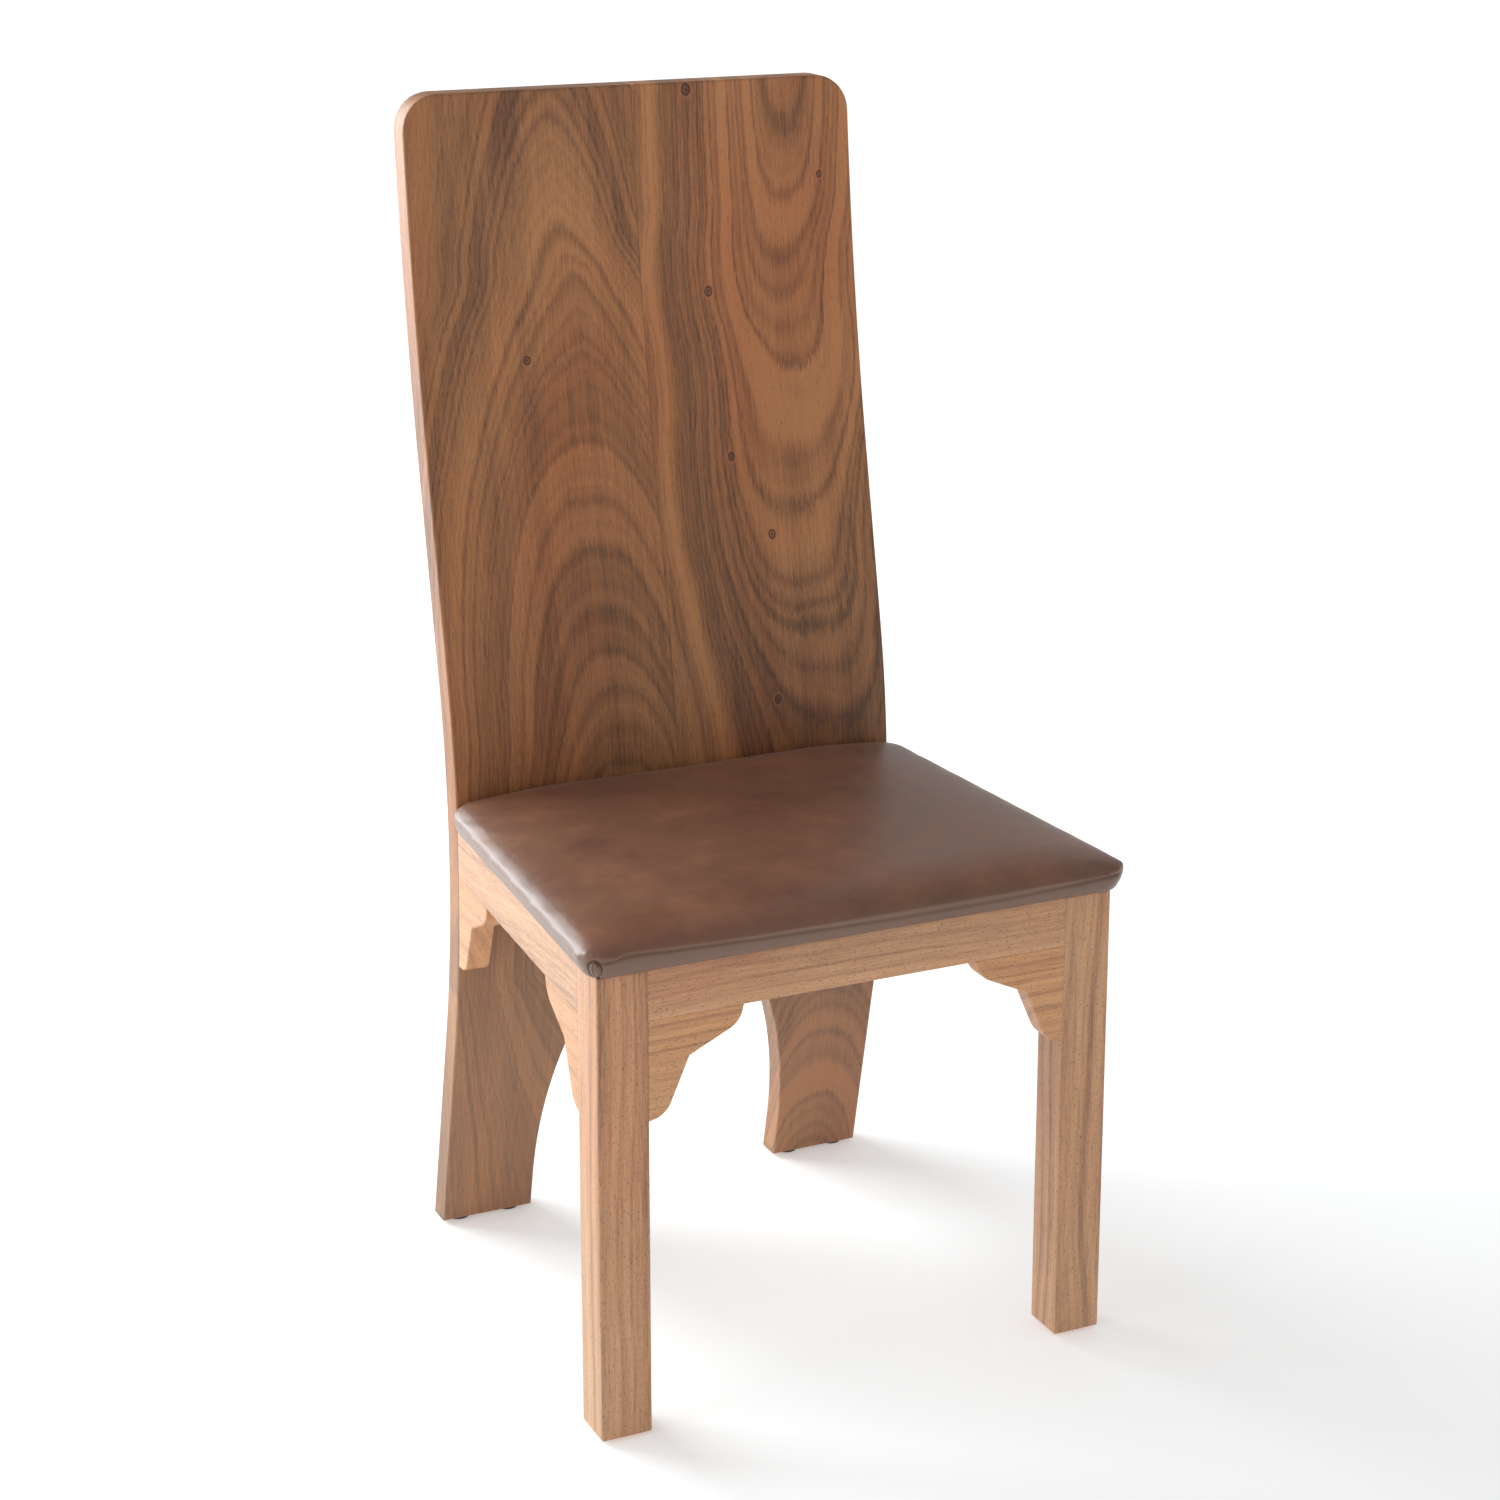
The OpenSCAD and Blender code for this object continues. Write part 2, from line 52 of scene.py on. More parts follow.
def makeCamera():
    # back is the unit way from the seat to the camera by yaw and pitch. right and up are the two
    # ways across it, turned by roll, and the three are the columns of the camera's turn.
    yaw, pitch, roll = (math.radians(view[k]) for k in ("yaw", "pitch", "roll"))
    back = Vector((math.sin(yaw) * math.cos(pitch), -math.cos(yaw) * math.cos(pitch), math.sin(pitch)))
    level = Vector((math.cos(yaw), math.sin(yaw), 0))
    upright = back.cross(level)
    right = level * math.cos(roll) + upright * math.sin(roll)
    up = upright * math.cos(roll) - level * math.sin(roll)
    camera = bpy.data.objects.new("camera", bpy.data.cameras.new("camera"))
    turn = Matrix((right, up, back)).transposed()
    camera.matrix_world = Matrix.Translation(view["place"]) @ turn.to_4x4()
    camera.data.sensor_width = view["sensor"]
    camera.data.lens = view["lens"]
    camera.data.shift_x, camera.data.shift_y = view["shiftX"], view["shiftY"]
    bpy.context.scene.collection.objects.link(camera)
    bpy.context.scene.camera = camera


makeCamera()
print("camera set")


# Short names for the shader nodes. Each gives the node's output, ready to plug into the next.
def put(tree, kind, *values, out=0, plugs=None, **settings):
    # adds one node, sets its options, fills its inputs by position or by name, and gives one output
    node = tree.nodes.new("ShaderNode" + kind)
    for option, value in settings.items():
        setattr(node, option, value)
    for key, value in [*enumerate(values), *(plugs or {}).items()]:
        if isinstance(value, bpy.types.NodeSocket):
            tree.links.new(value, node.inputs[key])
        elif value is not None:
            node.inputs[key].default_value = value
    return node.outputs[out]


def calc(tree, operation, *values):
    # one sum, product or power of the values
    return put(tree, "Math", *values, operation=operation)


def swing(tree, value, reach):
    # (value - 0.5) * reach: a noise of 0 to 1 becomes a shift to either side of nothing
    return calc(tree, "MULTIPLY", calc(tree, "SUBTRACT", value, 0.5), reach)


def objectPlace(tree):
    # the place on the piece in metres, the same as in the model
    return put(tree, "TexCoord", out=3)


def colour(red, green, blue):
    # a display colour, 0 to 255, as the linear colour that a shader takes
    shares = np.array([red, green, blue]) / 255
    linear = np.where(shares <= 0.04045, shares / 12.92, ((shares + 0.055) / 1.055) ** 2.4)
    return (*linear.tolist(), 1.0)


def mixColour(tree, share, first, second, blend="MIX"):
    # (1 - share) * first + share * the blend of first and second
    node = tree.nodes.new("ShaderNodeMix")
    node.data_type, node.blend_type = "RGBA", blend
    for key, value in ((0, share), (6, first), (7, second)):
        if isinstance(value, bpy.types.NodeSocket):
            tree.links.new(value, node.inputs[key])
        else:
            node.inputs[key].default_value = value
    return node.outputs[2]


def noise(tree, vector, scale, detail=2.0, rough=0.5, dims="3D"):
    # a layered noise of 0 to 1 with scale bumps to the unit, each layer half as large as the last
    plugs = {"Scale": scale, "Detail": detail, "Roughness": rough}
    plugs["W" if dims == "1D" else "Vector"] = vector
    return put(tree, "TexNoise", plugs=plugs, noise_dimensions=dims)


def remap(tree, value, low, high, toLow=0.0, toHigh=1.0, smooth=False):
    # toLow + (toHigh - toLow) * (value - low) / (high - low), held at both ends
    return put(tree, "MapRange", value, low, high, toLow, toHigh,
               interpolation_type="SMOOTHSTEP" if smooth else "LINEAR")


def ramp(tree, value, stops, ease="EASE"):
    # between two stops of (place, grey) or (place, colour) the shade passes from one to the other
    node = tree.nodes.new("ShaderNodeValToRGB")
    node.color_ramp.interpolation = ease
    elements = node.color_ramp.elements
    while len(elements) < len(stops):
        elements.new(0.5)
    for element, (place, shade) in zip(elements, stops):
        element.position = place
        element.color = shade if isinstance(shade, tuple) else (shade, shade, shade, 1)
    tree.links.new(value, node.inputs[0])
    return node.outputs[0]


def longRamp(tree, value, stops, most=30):
    # a ramp holds 32 stops, so a longer list is laid over several ramps end to end, each adding
    # what it rises by
    total = None
    for first in range(0, len(stops) - 1, most - 1):
        part = stops[first:first + most]
        low, high = part[0][0], part[-1][0]
        share = remap(tree, value, low, high)
        piece = ramp(tree, share, [((place - low) / (high - low), shade) for place, shade in part])
        if total is None:
            total = piece
        else:
            total = calc(tree, "ADD", total, calc(tree, "SUBTRACT", piece, part[0][1]))
    return total


def smoothCurve(tree, value, points):
    # a smooth line through points, read at value. A curve node works from 0 to 1 both ways, so
    # places and heights are scaled to that and the result is scaled back.
    places, heights = np.array(points).T
    node = tree.nodes.new("ShaderNodeFloatCurve")
    low, high = heights.min() - 0.001, heights.max() + 0.001
    spots = np.stack([(places - places[0]) / (places[-1] - places[0]), (heights - low) / (high - low)], 1)
    line = node.mapping.curves[0]
    line.points[0].location, line.points[-1].location = spots[0], spots[-1]
    for spot in spots[1:-1]:
        line.points.new(*spot)
    node.mapping.update()
    share = remap(tree, value, float(places[0]), float(places[-1]))
    tree.links.new(share, node.inputs["Value"])
    return remap(tree, node.outputs[0], 0.0, 1.0, float(low), float(high))


def addBump(tree, shader, height, strength, distance):
    # the slope of height * distance, times strength, tilts the surface
    bump = put(tree, "Bump", plugs={"Strength": strength, "Distance": distance, "Height": height})
    tree.links.new(bump, shader.inputs["Normal"])


def newMaterial(name):
    # a plain material, its nodes and its shader
    material = bpy.data.materials.new(name)
    material.use_nodes = True
    tree = material.node_tree
    return material, tree, tree.nodes["Principled BSDF"]


# Oiled wood: growth rings cut by the surface, and open pores along the grain. Each scale is in
# bumps to the metre across the grain, and fibre, ribbon and hair are shares of the tone.
woodLook = dict(light=(184, 128, 82), middle=(152, 103, 65), dark=(94, 65, 42),
                warm=(168, 100, 66), warmShare=0.35, patchScale=7.0,
                pore=(74, 48, 34), poreDark=0.34, poreShort=4.0, poreScale=900.0, poreAt=(0.60, 0.72),
                fibre=0.20, fibreScale=420.0, ribbon=0.16, ribbonScale=46.0, hair=0.22, hairScale=1500.0,
                contrast=1.0, ringPitch=0.0075, drift=0.030, driftScale=3.2, shrink=0.035, halfShrink=0.4,
                roughness=0.47, duller=0.07, shinier=0.05, coat=0.03, coatRoughness=0.35, ior=1.46,
                bump=0.22, bumpDepth=0.0004, fibreRelief=0.35)


def finishWood(tree, shader, tone, along, cross, look):
    # tone is 0 in the lightest wood and 1 in the darkest, and gains (noise - 0.5) * 4 * share for
    # each of fibre, ribbon and hair. along runs with the grain, and cross is the place with the
    # grain axis shrunk, so that noise read there is drawn out into fibres.
    fibre = noise(tree, cross, look["fibreScale"], 3.0, 0.6)
    ribbon = noise(tree, cross, look["ribbonScale"], 2.0, 0.5)
    hair = noise(tree, cross, look["hairScale"], 2.0, 0.7)
    dashes = put(tree, "VectorMath", cross, (1.0, 1.0, look["poreShort"]), operation="MULTIPLY")
    pores = remap(tree, noise(tree, dashes, look["poreScale"], 1.0, 0.5), *look["poreAt"], smooth=True)
    patch = noise(tree, along, look["patchScale"], 2.0, 0.5)
    for grain, share in ((fibre, look["fibre"]), (ribbon, look["ribbon"]), (hair, look["hair"])):
        tone = calc(tree, "ADD", tone, swing(tree, grain, share * 4))
    base = ramp(tree, tone, [(0.0, colour(*look["light"])), (0.5, colour(*look["middle"])),
                             (1.0, colour(*look["dark"]))], "LINEAR")
    warm = mixColour(tree, remap(tree, patch, 0.35, 0.65, 0.0, look["warmShare"]), base,
                     colour(*look["warm"]), "SOFT_LIGHT")
    shaded = mixColour(tree, calc(tree, "MULTIPLY", pores, look["poreDark"]), warm, colour(*look["pore"]))
    tree.links.new(shaded, shader.inputs["Base Color"])
    tree.links.new(remap(tree, fibre, 0.2, 0.8, look["roughness"] - look["shinier"],
                         look["roughness"] + look["duller"]), shader.inputs["Roughness"])
    height = calc(tree, "SUBTRACT", calc(tree, "MULTIPLY", fibre, look["fibreRelief"]), pores)
    addBump(tree, shader, height, look["bump"], look["bumpDepth"])
    shader.inputs["IOR"].default_value = look["ior"]
    shader.inputs["Coat Weight"].default_value = look["coat"]
    shader.inputs["Coat Roughness"].default_value = look["coatRoughness"]
    return shaded


def stickWood(name, grain, pith, look=woodLook):
    # a leg, rail, bracket or block: its ring radius is the distance sqrt(a^2 + b^2) from a pith
    # line beside the piece, plus a slow drift, and the tone is a noise of that radius. grain is
    # the axis it runs along, and pith is where the pith lies on the two others.
    material, tree, shader = newMaterial(name)
    turn = {"x": (0, 1, 2), "y": (1, 2, 0), "z": (2, 0, 1)}[grain]
    split = put(tree, "SeparateXYZ", objectPlace(tree)).node.outputs
    run, first, second = (split[i] for i in turn)
    drift = noise(tree, put(tree, "CombineXYZ", first, second, run), look["driftScale"], 1.0, 0.4)
    squares = [calc(tree, "POWER", calc(tree, "SUBTRACT", axis, at), 2.0)
               for axis, at in zip((first, second), pith)]
    ring = calc(tree, "ADD", calc(tree, "SQRT", calc(tree, "ADD", *squares)),
                swing(tree, drift, look["drift"]))
    bands = noise(tree, ring, 1 / look["ringPitch"], 2.0, 0.65, "1D")
    tone = remap(tree, bands, 0.25, 0.75, 0.5 - look["contrast"] / 2, 0.5 + look["contrast"] / 2)
    cross, along = (put(tree, "CombineXYZ", first, second, calc(tree, "MULTIPLY", run, look[k]))
                    for k in ("shrink", "halfShrink"))
    finishWood(tree, shader, tone, along, cross, look)
    return material


# The two back boards are flat sawn from one log, so their faces cut long nested arches. A board's
# figure is a ring radius: (offset from the centre line ^ power + axis ^ power) ^ (1 / power), where
# centre gives the middle of the arches and axis the ring at the middle, both by height.
# broad is the shade of the wood by ring radius, and lines are its thin dark rings (radius, half
# width, darkness). knots are (across, height, radius). All lengths are in millimetres.
leftBoard = dict(
    centre=[(0, -62), (300, -60), (480, -52), (560, -58), (700, -62), (850, -65), (905, -68), (960, -78),
            (1080, -80)],
    axis=[(0, 125), (50, 119), (100, 112), (150, 100), (200, 84), (250, 56), (300, 8), (400, 38), (450, 56),
          (540, 80), (600, 93), (702, 113), (760, 125), (848, 142), (955, 160), (1080, 182)],
    power=[(0, 2.6), (300, 2.6), (620, 2.5), (760, 2.2), (860, 1.9), (960, 1.6), (1080, 1.6)],
    rightSide=1.22,
    broad=[(0, .5), (30, .4), (58, .5), (66, .6), (74, .5), (83, .45), (90, .62), (98, .58), (104, .6),
           (108, .4), (112, .4), (117, .35), (122, .35), (130, .55), (137, .5), (147, .45), (156, .35),
           (164, .3), (172, .4), (180, .55), (190, .75), (197, .5), (205, .65), (230, .5)],
    lines=[(15, 4, .4), (38, 3, .4), (50, 2, .3), (62, 2, .35), (70, 1.5, .3), (78.5, 1.6, .45),
           (86.5, 1.5, .4), (93, 1.6, .35), (98.5, .8, .25), (101, .8, .25), (104.5, 1.5, .35),
           (113.5, 1.3, .5), (116, .7, .3), (125, 1.5, .5), (129, 1, .25), (134.5, 1, .35), (139, .8, .3),
           (142, 1, .4), (146, .7, .2), (151, 1.6, .5), (155, .7, .2), (159.5, 1.6, .8), (164.5, .7, .25),
           (168, .6, .3), (171, .7, .3), (174, .8, .35), (178, 1.2, .35), (183, 1.3, .4), (187, .8, .3),
           (193, 1, .35), (200, 1.5, .4), (208, 1.2, .3)],
    knots=[(-117, 835, 3.2)])
rightBoard = dict(
    centre=[(0, 172), (150, 172), (250, 168), (400, 164), (470, 160), (530, 155), (565, 150), (615, 145),
            (677, 140), (750, 144), (812, 150), (880, 143), (905, 143), (965, 150), (1080, 152)],
    axis=[(0, 40), (20, 45), (60, 55), (95, 65), (135, 74), (180, 84), (250, 96), (330, 103), (400, 104),
          (470, 100), (530, 93), (565, 89), (615, 82), (676, 76), (725, 69.5), (812, 57.5), (847, 53),
          (882, 48), (912, 44), (970, 34), (1035, 23), (1080, 14)],
    power=[(0, 2.3), (200, 2.3), (420, 2.9), (1080, 3.1)],
    rightSide=1.0,
    broad=[(0, .5), (14, .45), (25, .6), (31, .35), (40, .2), (44, .4), (50, .35), (55, .3), (60, .12),
           (66, .05), (70, .45), (74, .4), (79, .25), (84, .5), (88, .6), (92, .5), (96, .55), (101, .75),
           (107, .6), (112, .75), (118, .7), (124, .7), (129, .4), (136, .1), (141, .3), (148, .6),
           (156, .35), (170, .55), (230, .5)],
    lines=[(23, 2.5, .4), (34, 1.4, .45), (44, 1.3, .5), (48.3, 1, .5), (53, 1.2, .45), (57.5, 1.5, .8),
           (62, .6, .12), (70, 1.5, .25), (75.7, 1.2, .65), (79, .6, .2), (82.5, 1.2, .5), (86, .8, .35),
           (89, 1.4, .5), (93.3, 1.2, .5), (96, .7, .2), (99.5, 1.6, .35), (104, .8, .35), (107, .6, .3),
           (110, .9, .4), (114, .7, .3), (117, .9, .4), (121, .7, .3), (124, .8, .35), (128, .7, .25),
           (132, .5, .15), (139, .8, .25), (144, .8, .3), (150, 1, .4), (158, .8, .3)],
    knots=[(54, 1069, 4.2), (187, 985, 2.6), (67, 884, 3.6), (78, 731, 3.2), (113, 656, 3.4),
           (106, 502, 3.4)])
# What the two boards share. Slow and quick waves move the place by slow and quick millimetres
# (across, up), and the fibres that run through the rings feather a ring's edge along the grain.
figure = dict(slowScale=13.0, slow=(9.0, 26.0), quickScale=46.0, quick=(3.0, 7.0), waveShrink=0.33,
              depthShift=0.8, featherScale=950.0, featherShrink=0.05, feather=6.5,
              broadAt=(0.05, 0.75), broadTone=(-0.12, 0.72), lineTone=0.62, thinScale=0.45, thinTone=0.10,
              paleFoot=(160, 132, 108), paleShare=0.32, paleBelow=0.34, paleTo=0.44,
              halo=(172, 106, 66), core=(58, 30, 20), knotHeight=0.8, knotReach=2.2, knotRagged=0.9)


def lineStops(lines):
    # a thin ring rises from 0 to its darkness and falls back, 1.5 half widths before and 1.2 after
    stops = [(0.0, 0.0)]
    for radius, half, dark in lines:
        low = max(radius - half * 1.5, stops[-1][0] + 0.05)
        stops += [(low, 0.0), (max(radius, low + 0.2), dark), (radius + half * 1.2, 0.0)]
    return stops + [(240.0, 0.0)]


def addKnots(tree, shaded, split, feather, knots):
    # nearness to the closest pin knot is 1 - gap / (reach * radius), and its ramps draw a warm
    # halo and a dark ring with a dark heart
    nearness = None
    flat = put(tree, "CombineXYZ", calc(tree, "MULTIPLY", split[0], 1000.0), 0.0,
               calc(tree, "MULTIPLY", split[2], 1000.0 * figure["knotHeight"]))
    for knotX, knotZ, radius in knots:
        middle = (knotX, 0.0, knotZ * figure["knotHeight"])
        gap = put(tree, "VectorMath", flat, middle, operation="DISTANCE", out=1)
        gap = calc(tree, "ADD", gap, swing(tree, feather, radius * figure["knotRagged"]))
        near = remap(tree, gap, 0.0, radius * figure["knotReach"], 1.0, 0.0)
        nearness = near if nearness is None else calc(tree, "MAXIMUM", nearness, near)
    halo = ramp(tree, nearness, [(0.0, 0.0), (0.15, 0.0), (0.38, 0.45), (0.55, 0.2), (1.0, 0.0)])
    core = ramp(tree, nearness, [(0.0, 0.0), (0.42, 0.0), (0.58, 0.95), (0.78, 0.3), (0.9, 0.9)])
    warm = mixColour(tree, halo, shaded, colour(*figure["halo"]))
    return mixColour(tree, core, warm, colour(*figure["core"]))


def boardWood(name, board, look=woodLook):
    # the ring radius of the formula above at each place, in millimetres, plus the depth into the
    # board, shaded by broad and lines
    material, tree, shader = newMaterial(name)
    split = put(tree, "SeparateXYZ", objectPlace(tree)).node.outputs
    depth = put(tree, "Attribute", out=2, attribute_name="depth")

    def shrunk(share):
        # the place with its height times share, so that what is read there runs up the board
        return put(tree, "CombineXYZ", split[0], depth, calc(tree, "MULTIPLY", split[2], share))

    spread = shrunk(figure["waveShrink"])
    slow, quick = (put(tree, "SeparateColor", put(tree, "TexNoise", out=1, plugs={
        "Vector": spread, "Scale": figure[k], "Detail": 1.0})).node.outputs
        for k in ("slowScale", "quickScale"))

    def waved(axis, way):
        # the place in millimetres, moved by the slow and the quick wave
        wave = calc(tree, "ADD", swing(tree, slow[way], figure["slow"][way]),
                    swing(tree, quick[way], figure["quick"][way]))
        return calc(tree, "ADD", calc(tree, "MULTIPLY", axis, 1000.0), wave)

    x, z = waved(split[0], 0), waved(split[2], 1)
    offset = calc(tree, "SUBTRACT", x, smoothCurve(tree, z, board["centre"]))
    side = remap(tree, offset, -1.0, 1.0, 1.0, board["rightSide"])
    offset = calc(tree, "MULTIPLY", calc(tree, "ABSOLUTE", offset), side)
    axis = calc(tree, "ADD", smoothCurve(tree, z, board["axis"]),
                calc(tree, "MULTIPLY", depth, 1000.0 * figure["depthShift"]))
    power = smoothCurve(tree, z, board["power"])
    ring = calc(tree, "POWER", calc(tree, "ADD", calc(tree, "POWER", offset, power),
                                    calc(tree, "POWER", calc(tree, "MAXIMUM", axis, 0.5), power)),
                calc(tree, "DIVIDE", 1.0, power))
    feather = noise(tree, shrunk(figure["featherShrink"]), figure["featherScale"], 3.0, 0.65)
    ring = calc(tree, "ADD", ring, swing(tree, feather, figure["feather"]))
    broad = longRamp(tree, ring, board["broad"])
    lines = longRamp(tree, ring, lineStops(board["lines"]))
    thin = noise(tree, ring, figure["thinScale"], 2.0, 0.6, "1D")
    tone = calc(tree, "ADD", remap(tree, broad, *figure["broadAt"], *figure["broadTone"]),
                calc(tree, "MULTIPLY", lines, figure["lineTone"]))
    tone = calc(tree, "ADD", tone, remap(tree, thin, 0.3, 0.7, -figure["thinTone"], figure["thinTone"]))
    shaded = finishWood(tree, shader, tone, shrunk(look["halfShrink"]), shrunk(look["shrink"]), look)
    pale = remap(tree, split[2], figure["paleBelow"], figure["paleTo"], figure["paleShare"], 0.0, smooth=True)
    shaded = mixColour(tree, pale, shaded, colour(*figure["paleFoot"]))
    shaded = addKnots(tree, shaded, split, feather, board["knots"])
    tree.links.new(shaded, shader.inputs["Base Color"])
    return material


leftWood = boardWood("oiled board left", leftBoard)
rightWood = boardWood("oiled board right", rightBoard)
print("board figure made")


# Helpers that turn arrays of points into pieces.
def meshPiece(name, points, faces, material, flatFaces=0, standsFor=()):
    # points and faces as arrays or lists. The last flatFaces faces are left flat, and the rest
    # are shaded smooth.
    mesh = bpy.data.meshes.new(name)
    mesh.from_pydata(np.asarray(points).reshape(-1, 3).tolist(), [], [list(map(int, f)) for f in faces])
    smooth = np.ones(len(mesh.polygons), bool)
    if flatFaces:
        smooth[-flatFaces:] = False
    mesh.polygons.foreach_set("use_smooth", smooth)
    outwards(mesh)
    mesh.materials.append(material)
    piece = bpy.data.objects.new(name, mesh)
    bpy.context.scene.collection.objects.link(piece)
    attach(piece, "root")
    if standsFor:
        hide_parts(*standsFor)
    return piece


def outwards(mesh):
    # turns every face's normal away from the closed form's inside
    work = bmesh.new()
    work.from_mesh(mesh)
    bmesh.ops.recalc_face_normals(work, faces=work.faces)
    work.to_mesh(mesh)
    work.free()


def gridFaces(rows, columns, first=0, closed=False):
    # quads of a grid of points laid out row by row, numbered from first: each joins a point, the
    # next in its row, and the two above them
    row, column = np.meshgrid(np.arange(rows - 1), np.arange(columns if closed else columns - 1),
                              indexing="ij")
    after = (column + 1) % columns
    corners = [row * columns + column, row * columns + after,
               (row + 1) * columns + after, (row + 1) * columns + column]
    return first + np.stack([c.ravel() for c in corners], 1)


def roundedOutline(corners, radii, steps=4):
    # the corners of an outline, counter-clockwise, each turned into an arc of its radius: the arc
    # bends from one edge's touching point to the other's round the corner
    corners = np.asarray(corners, float)
    before = corners - np.roll(corners, 1, 0)
    after = np.roll(corners, -1, 0) - corners
    before /= np.linalg.norm(before, axis=1)[:, None]
    after /= np.linalg.norm(after, axis=1)[:, None]
    turn = np.arccos(np.clip((before * after).sum(1), -1, 1))
    reach = (np.asarray(radii) * np.tan(turn / 2))[:, None]
    share = np.linspace(0, 1, steps + 1)[None, :, None]
    angle = turn[:, None, None]
    first, second = (corners - before * reach)[:, None], (corners + after * reach)[:, None]
    # a slerp of the two radius directions about the arc's centre
    inward = (after - before) / np.linalg.norm(after - before, axis=1)[:, None]
    centre = (corners + inward * (np.asarray(radii) / np.cos(turn / 2))[:, None])[:, None]
    arc = (first - centre) * np.sin((1 - share) * angle) + (second - centre) * np.sin(share * angle)
    return (centre + arc / np.sin(angle)).reshape(-1, 2)


def insetWays(outline):
    # for a counter-clockwise outline, the way each point moves so that every edge moves in by one:
    # (n1 + n2) / (1 + n1 . n2), where n1 and n2 are the inward normals of its two edges
    def inside(edge):
        # the edge's way turned to the left, one long
        return np.stack([-edge[:, 1], edge[:, 0]], 1) / np.linalg.norm(edge, axis=1)[:, None]
    first = inside(outline - np.roll(outline, 1, 0))
    second = inside(np.roll(outline, -1, 0) - outline)
    return (first + second) / (1 + (first * second).sum(1))[:, None]


def easedRings(outlineAt, thickness, ease, steps=4, rim=0.0006):
    # an outline carried straight through a thickness, with its edges eased: near each face the
    # outline moves in by ease * (1 - sin t) at a depth of ease * (1 - cos t). outlineAt gives the
    # outline moved in by an amount, and rim is how far the first and last rings stand off.
    turn = np.linspace(0, math.pi / 2, steps)
    half = [(1, 0, rim, 0)] + [(1 - math.sin(t), 1 - math.cos(t), 0, 0) for t in turn] + [(0, 1, 0, rim)]
    rings = []
    for moved, sunk, moreIn, moreDown in half:
        flat = outlineAt(ease * moved + moreIn)
        rings.append(np.concatenate([flat, np.broadcast_to(ease * sunk + moreDown, (len(flat), 1))], 1))
    far = [np.concatenate([r[:, :2], thickness - r[:, 2:]], 1) for r in reversed(rings)]
    return np.array(rings + far)


def boxOutline(low, high, radii):
    # a box's outline with rounded corners, as a function of how far its edges move in. Each corner
    # keeps its radius less the inset.
    def outlineAt(inset):
        # round the four corners, counter-clockwise
        a, b, c, d = low[0] + inset, low[1] + inset, high[0] - inset, high[1] - inset
        kept = [max(radius - inset, 0.0001) for radius in radii]
        return roundedOutline([(a, b), (c, b), (c, d), (a, d)], kept)
    return outlineAt


def closedRings(rings):
    # the faces of a stack of rings: quads between them and one flat face at each end
    count, around = rings.shape[:2]
    return [*gridFaces(count, around, closed=True), np.arange(around)[::-1],
            np.arange(around) + (count - 1) * around]


def woodPiece(name, rings, material, place):
    # closes a stack of rings and puts it in its place
    return meshPiece(name, place(rings.reshape(-1, 3)), closedRings(rings), material,
                     flatFaces=2, standsFor=[name])


def mirrored(side, place):
    # the same place on the left, where side is -1
    return lambda p: place(p) * (side, 1, 1)


# Back: two boards that follow the bent side profile down to the floor. From the bottom up it is a
# straight foot, a bend, a straight stretch and a reverse curve that turns by topTurn radians.
back = dict(thick=0.027, bendHeight=0.390, bendRadius=0.860, footLean=13, backLean=11.6, footLength=0.45,
            straight=0.174, topRadius=2.7, topTurn=0.30, forward=0.383, cornerRadius=0.033,
            archHalf=0.1305, archSpring=0.041, archCrown=0.292, ease=0.0022, jointEase=0.00015, rim=0.001)
legLow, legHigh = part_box("front_leg_right")
boardLow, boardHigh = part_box("back_board_right")
frontY = legLow.y


def backProfile(steps=60):
    # heights and front and rear y of the side profile. The lean a turns from -footLean to backLean
    # round the bend's centre, at y = r (1 - cos a) and z = r sin a, then back again along the
    # reverse curve. The rear face stands off by thick * (cos a, -sin a).
    foot, top = math.radians(back["footLean"]), math.radians(back["backLean"])
    bend = np.linspace(-foot, top, steps)
    bendY = frontY + back["forward"] + back["bendRadius"] * (1 - np.cos(bend))
    bendZ = back["bendHeight"] + back["bendRadius"] * np.sin(bend)
    startY = bendY[-1] + back["straight"] * math.sin(top)
    startZ = bendZ[-1] + back["straight"] * math.cos(top)
    curve = top - np.linspace(0, back["topTurn"], steps)
    curveY = startY + back["topRadius"] * (np.cos(curve) - math.cos(top))
    curveZ = startZ + back["topRadius"] * (math.sin(top) - np.sin(curve))
    y = np.concatenate([[bendY[0] + back["footLength"] * math.sin(foot)], bendY, curveY])
    z = np.concatenate([[bendZ[0] - back["footLength"] * math.cos(foot)], bendZ, curveZ])
    lean = np.concatenate([[-foot], bend, curve])
    return y, z, y + back["thick"] * np.cos(lean), z - back["thick"] * np.sin(lean)


profileY, profileZ, rearY, rearZ = backProfile()


def backFront(z):
    # the front face's y at a height, read from the profile
    return np.interp(z, profileZ, profileY)


def backRear(z):
    # the rear face's y at a height
    return np.interp(z, rearZ, rearY)


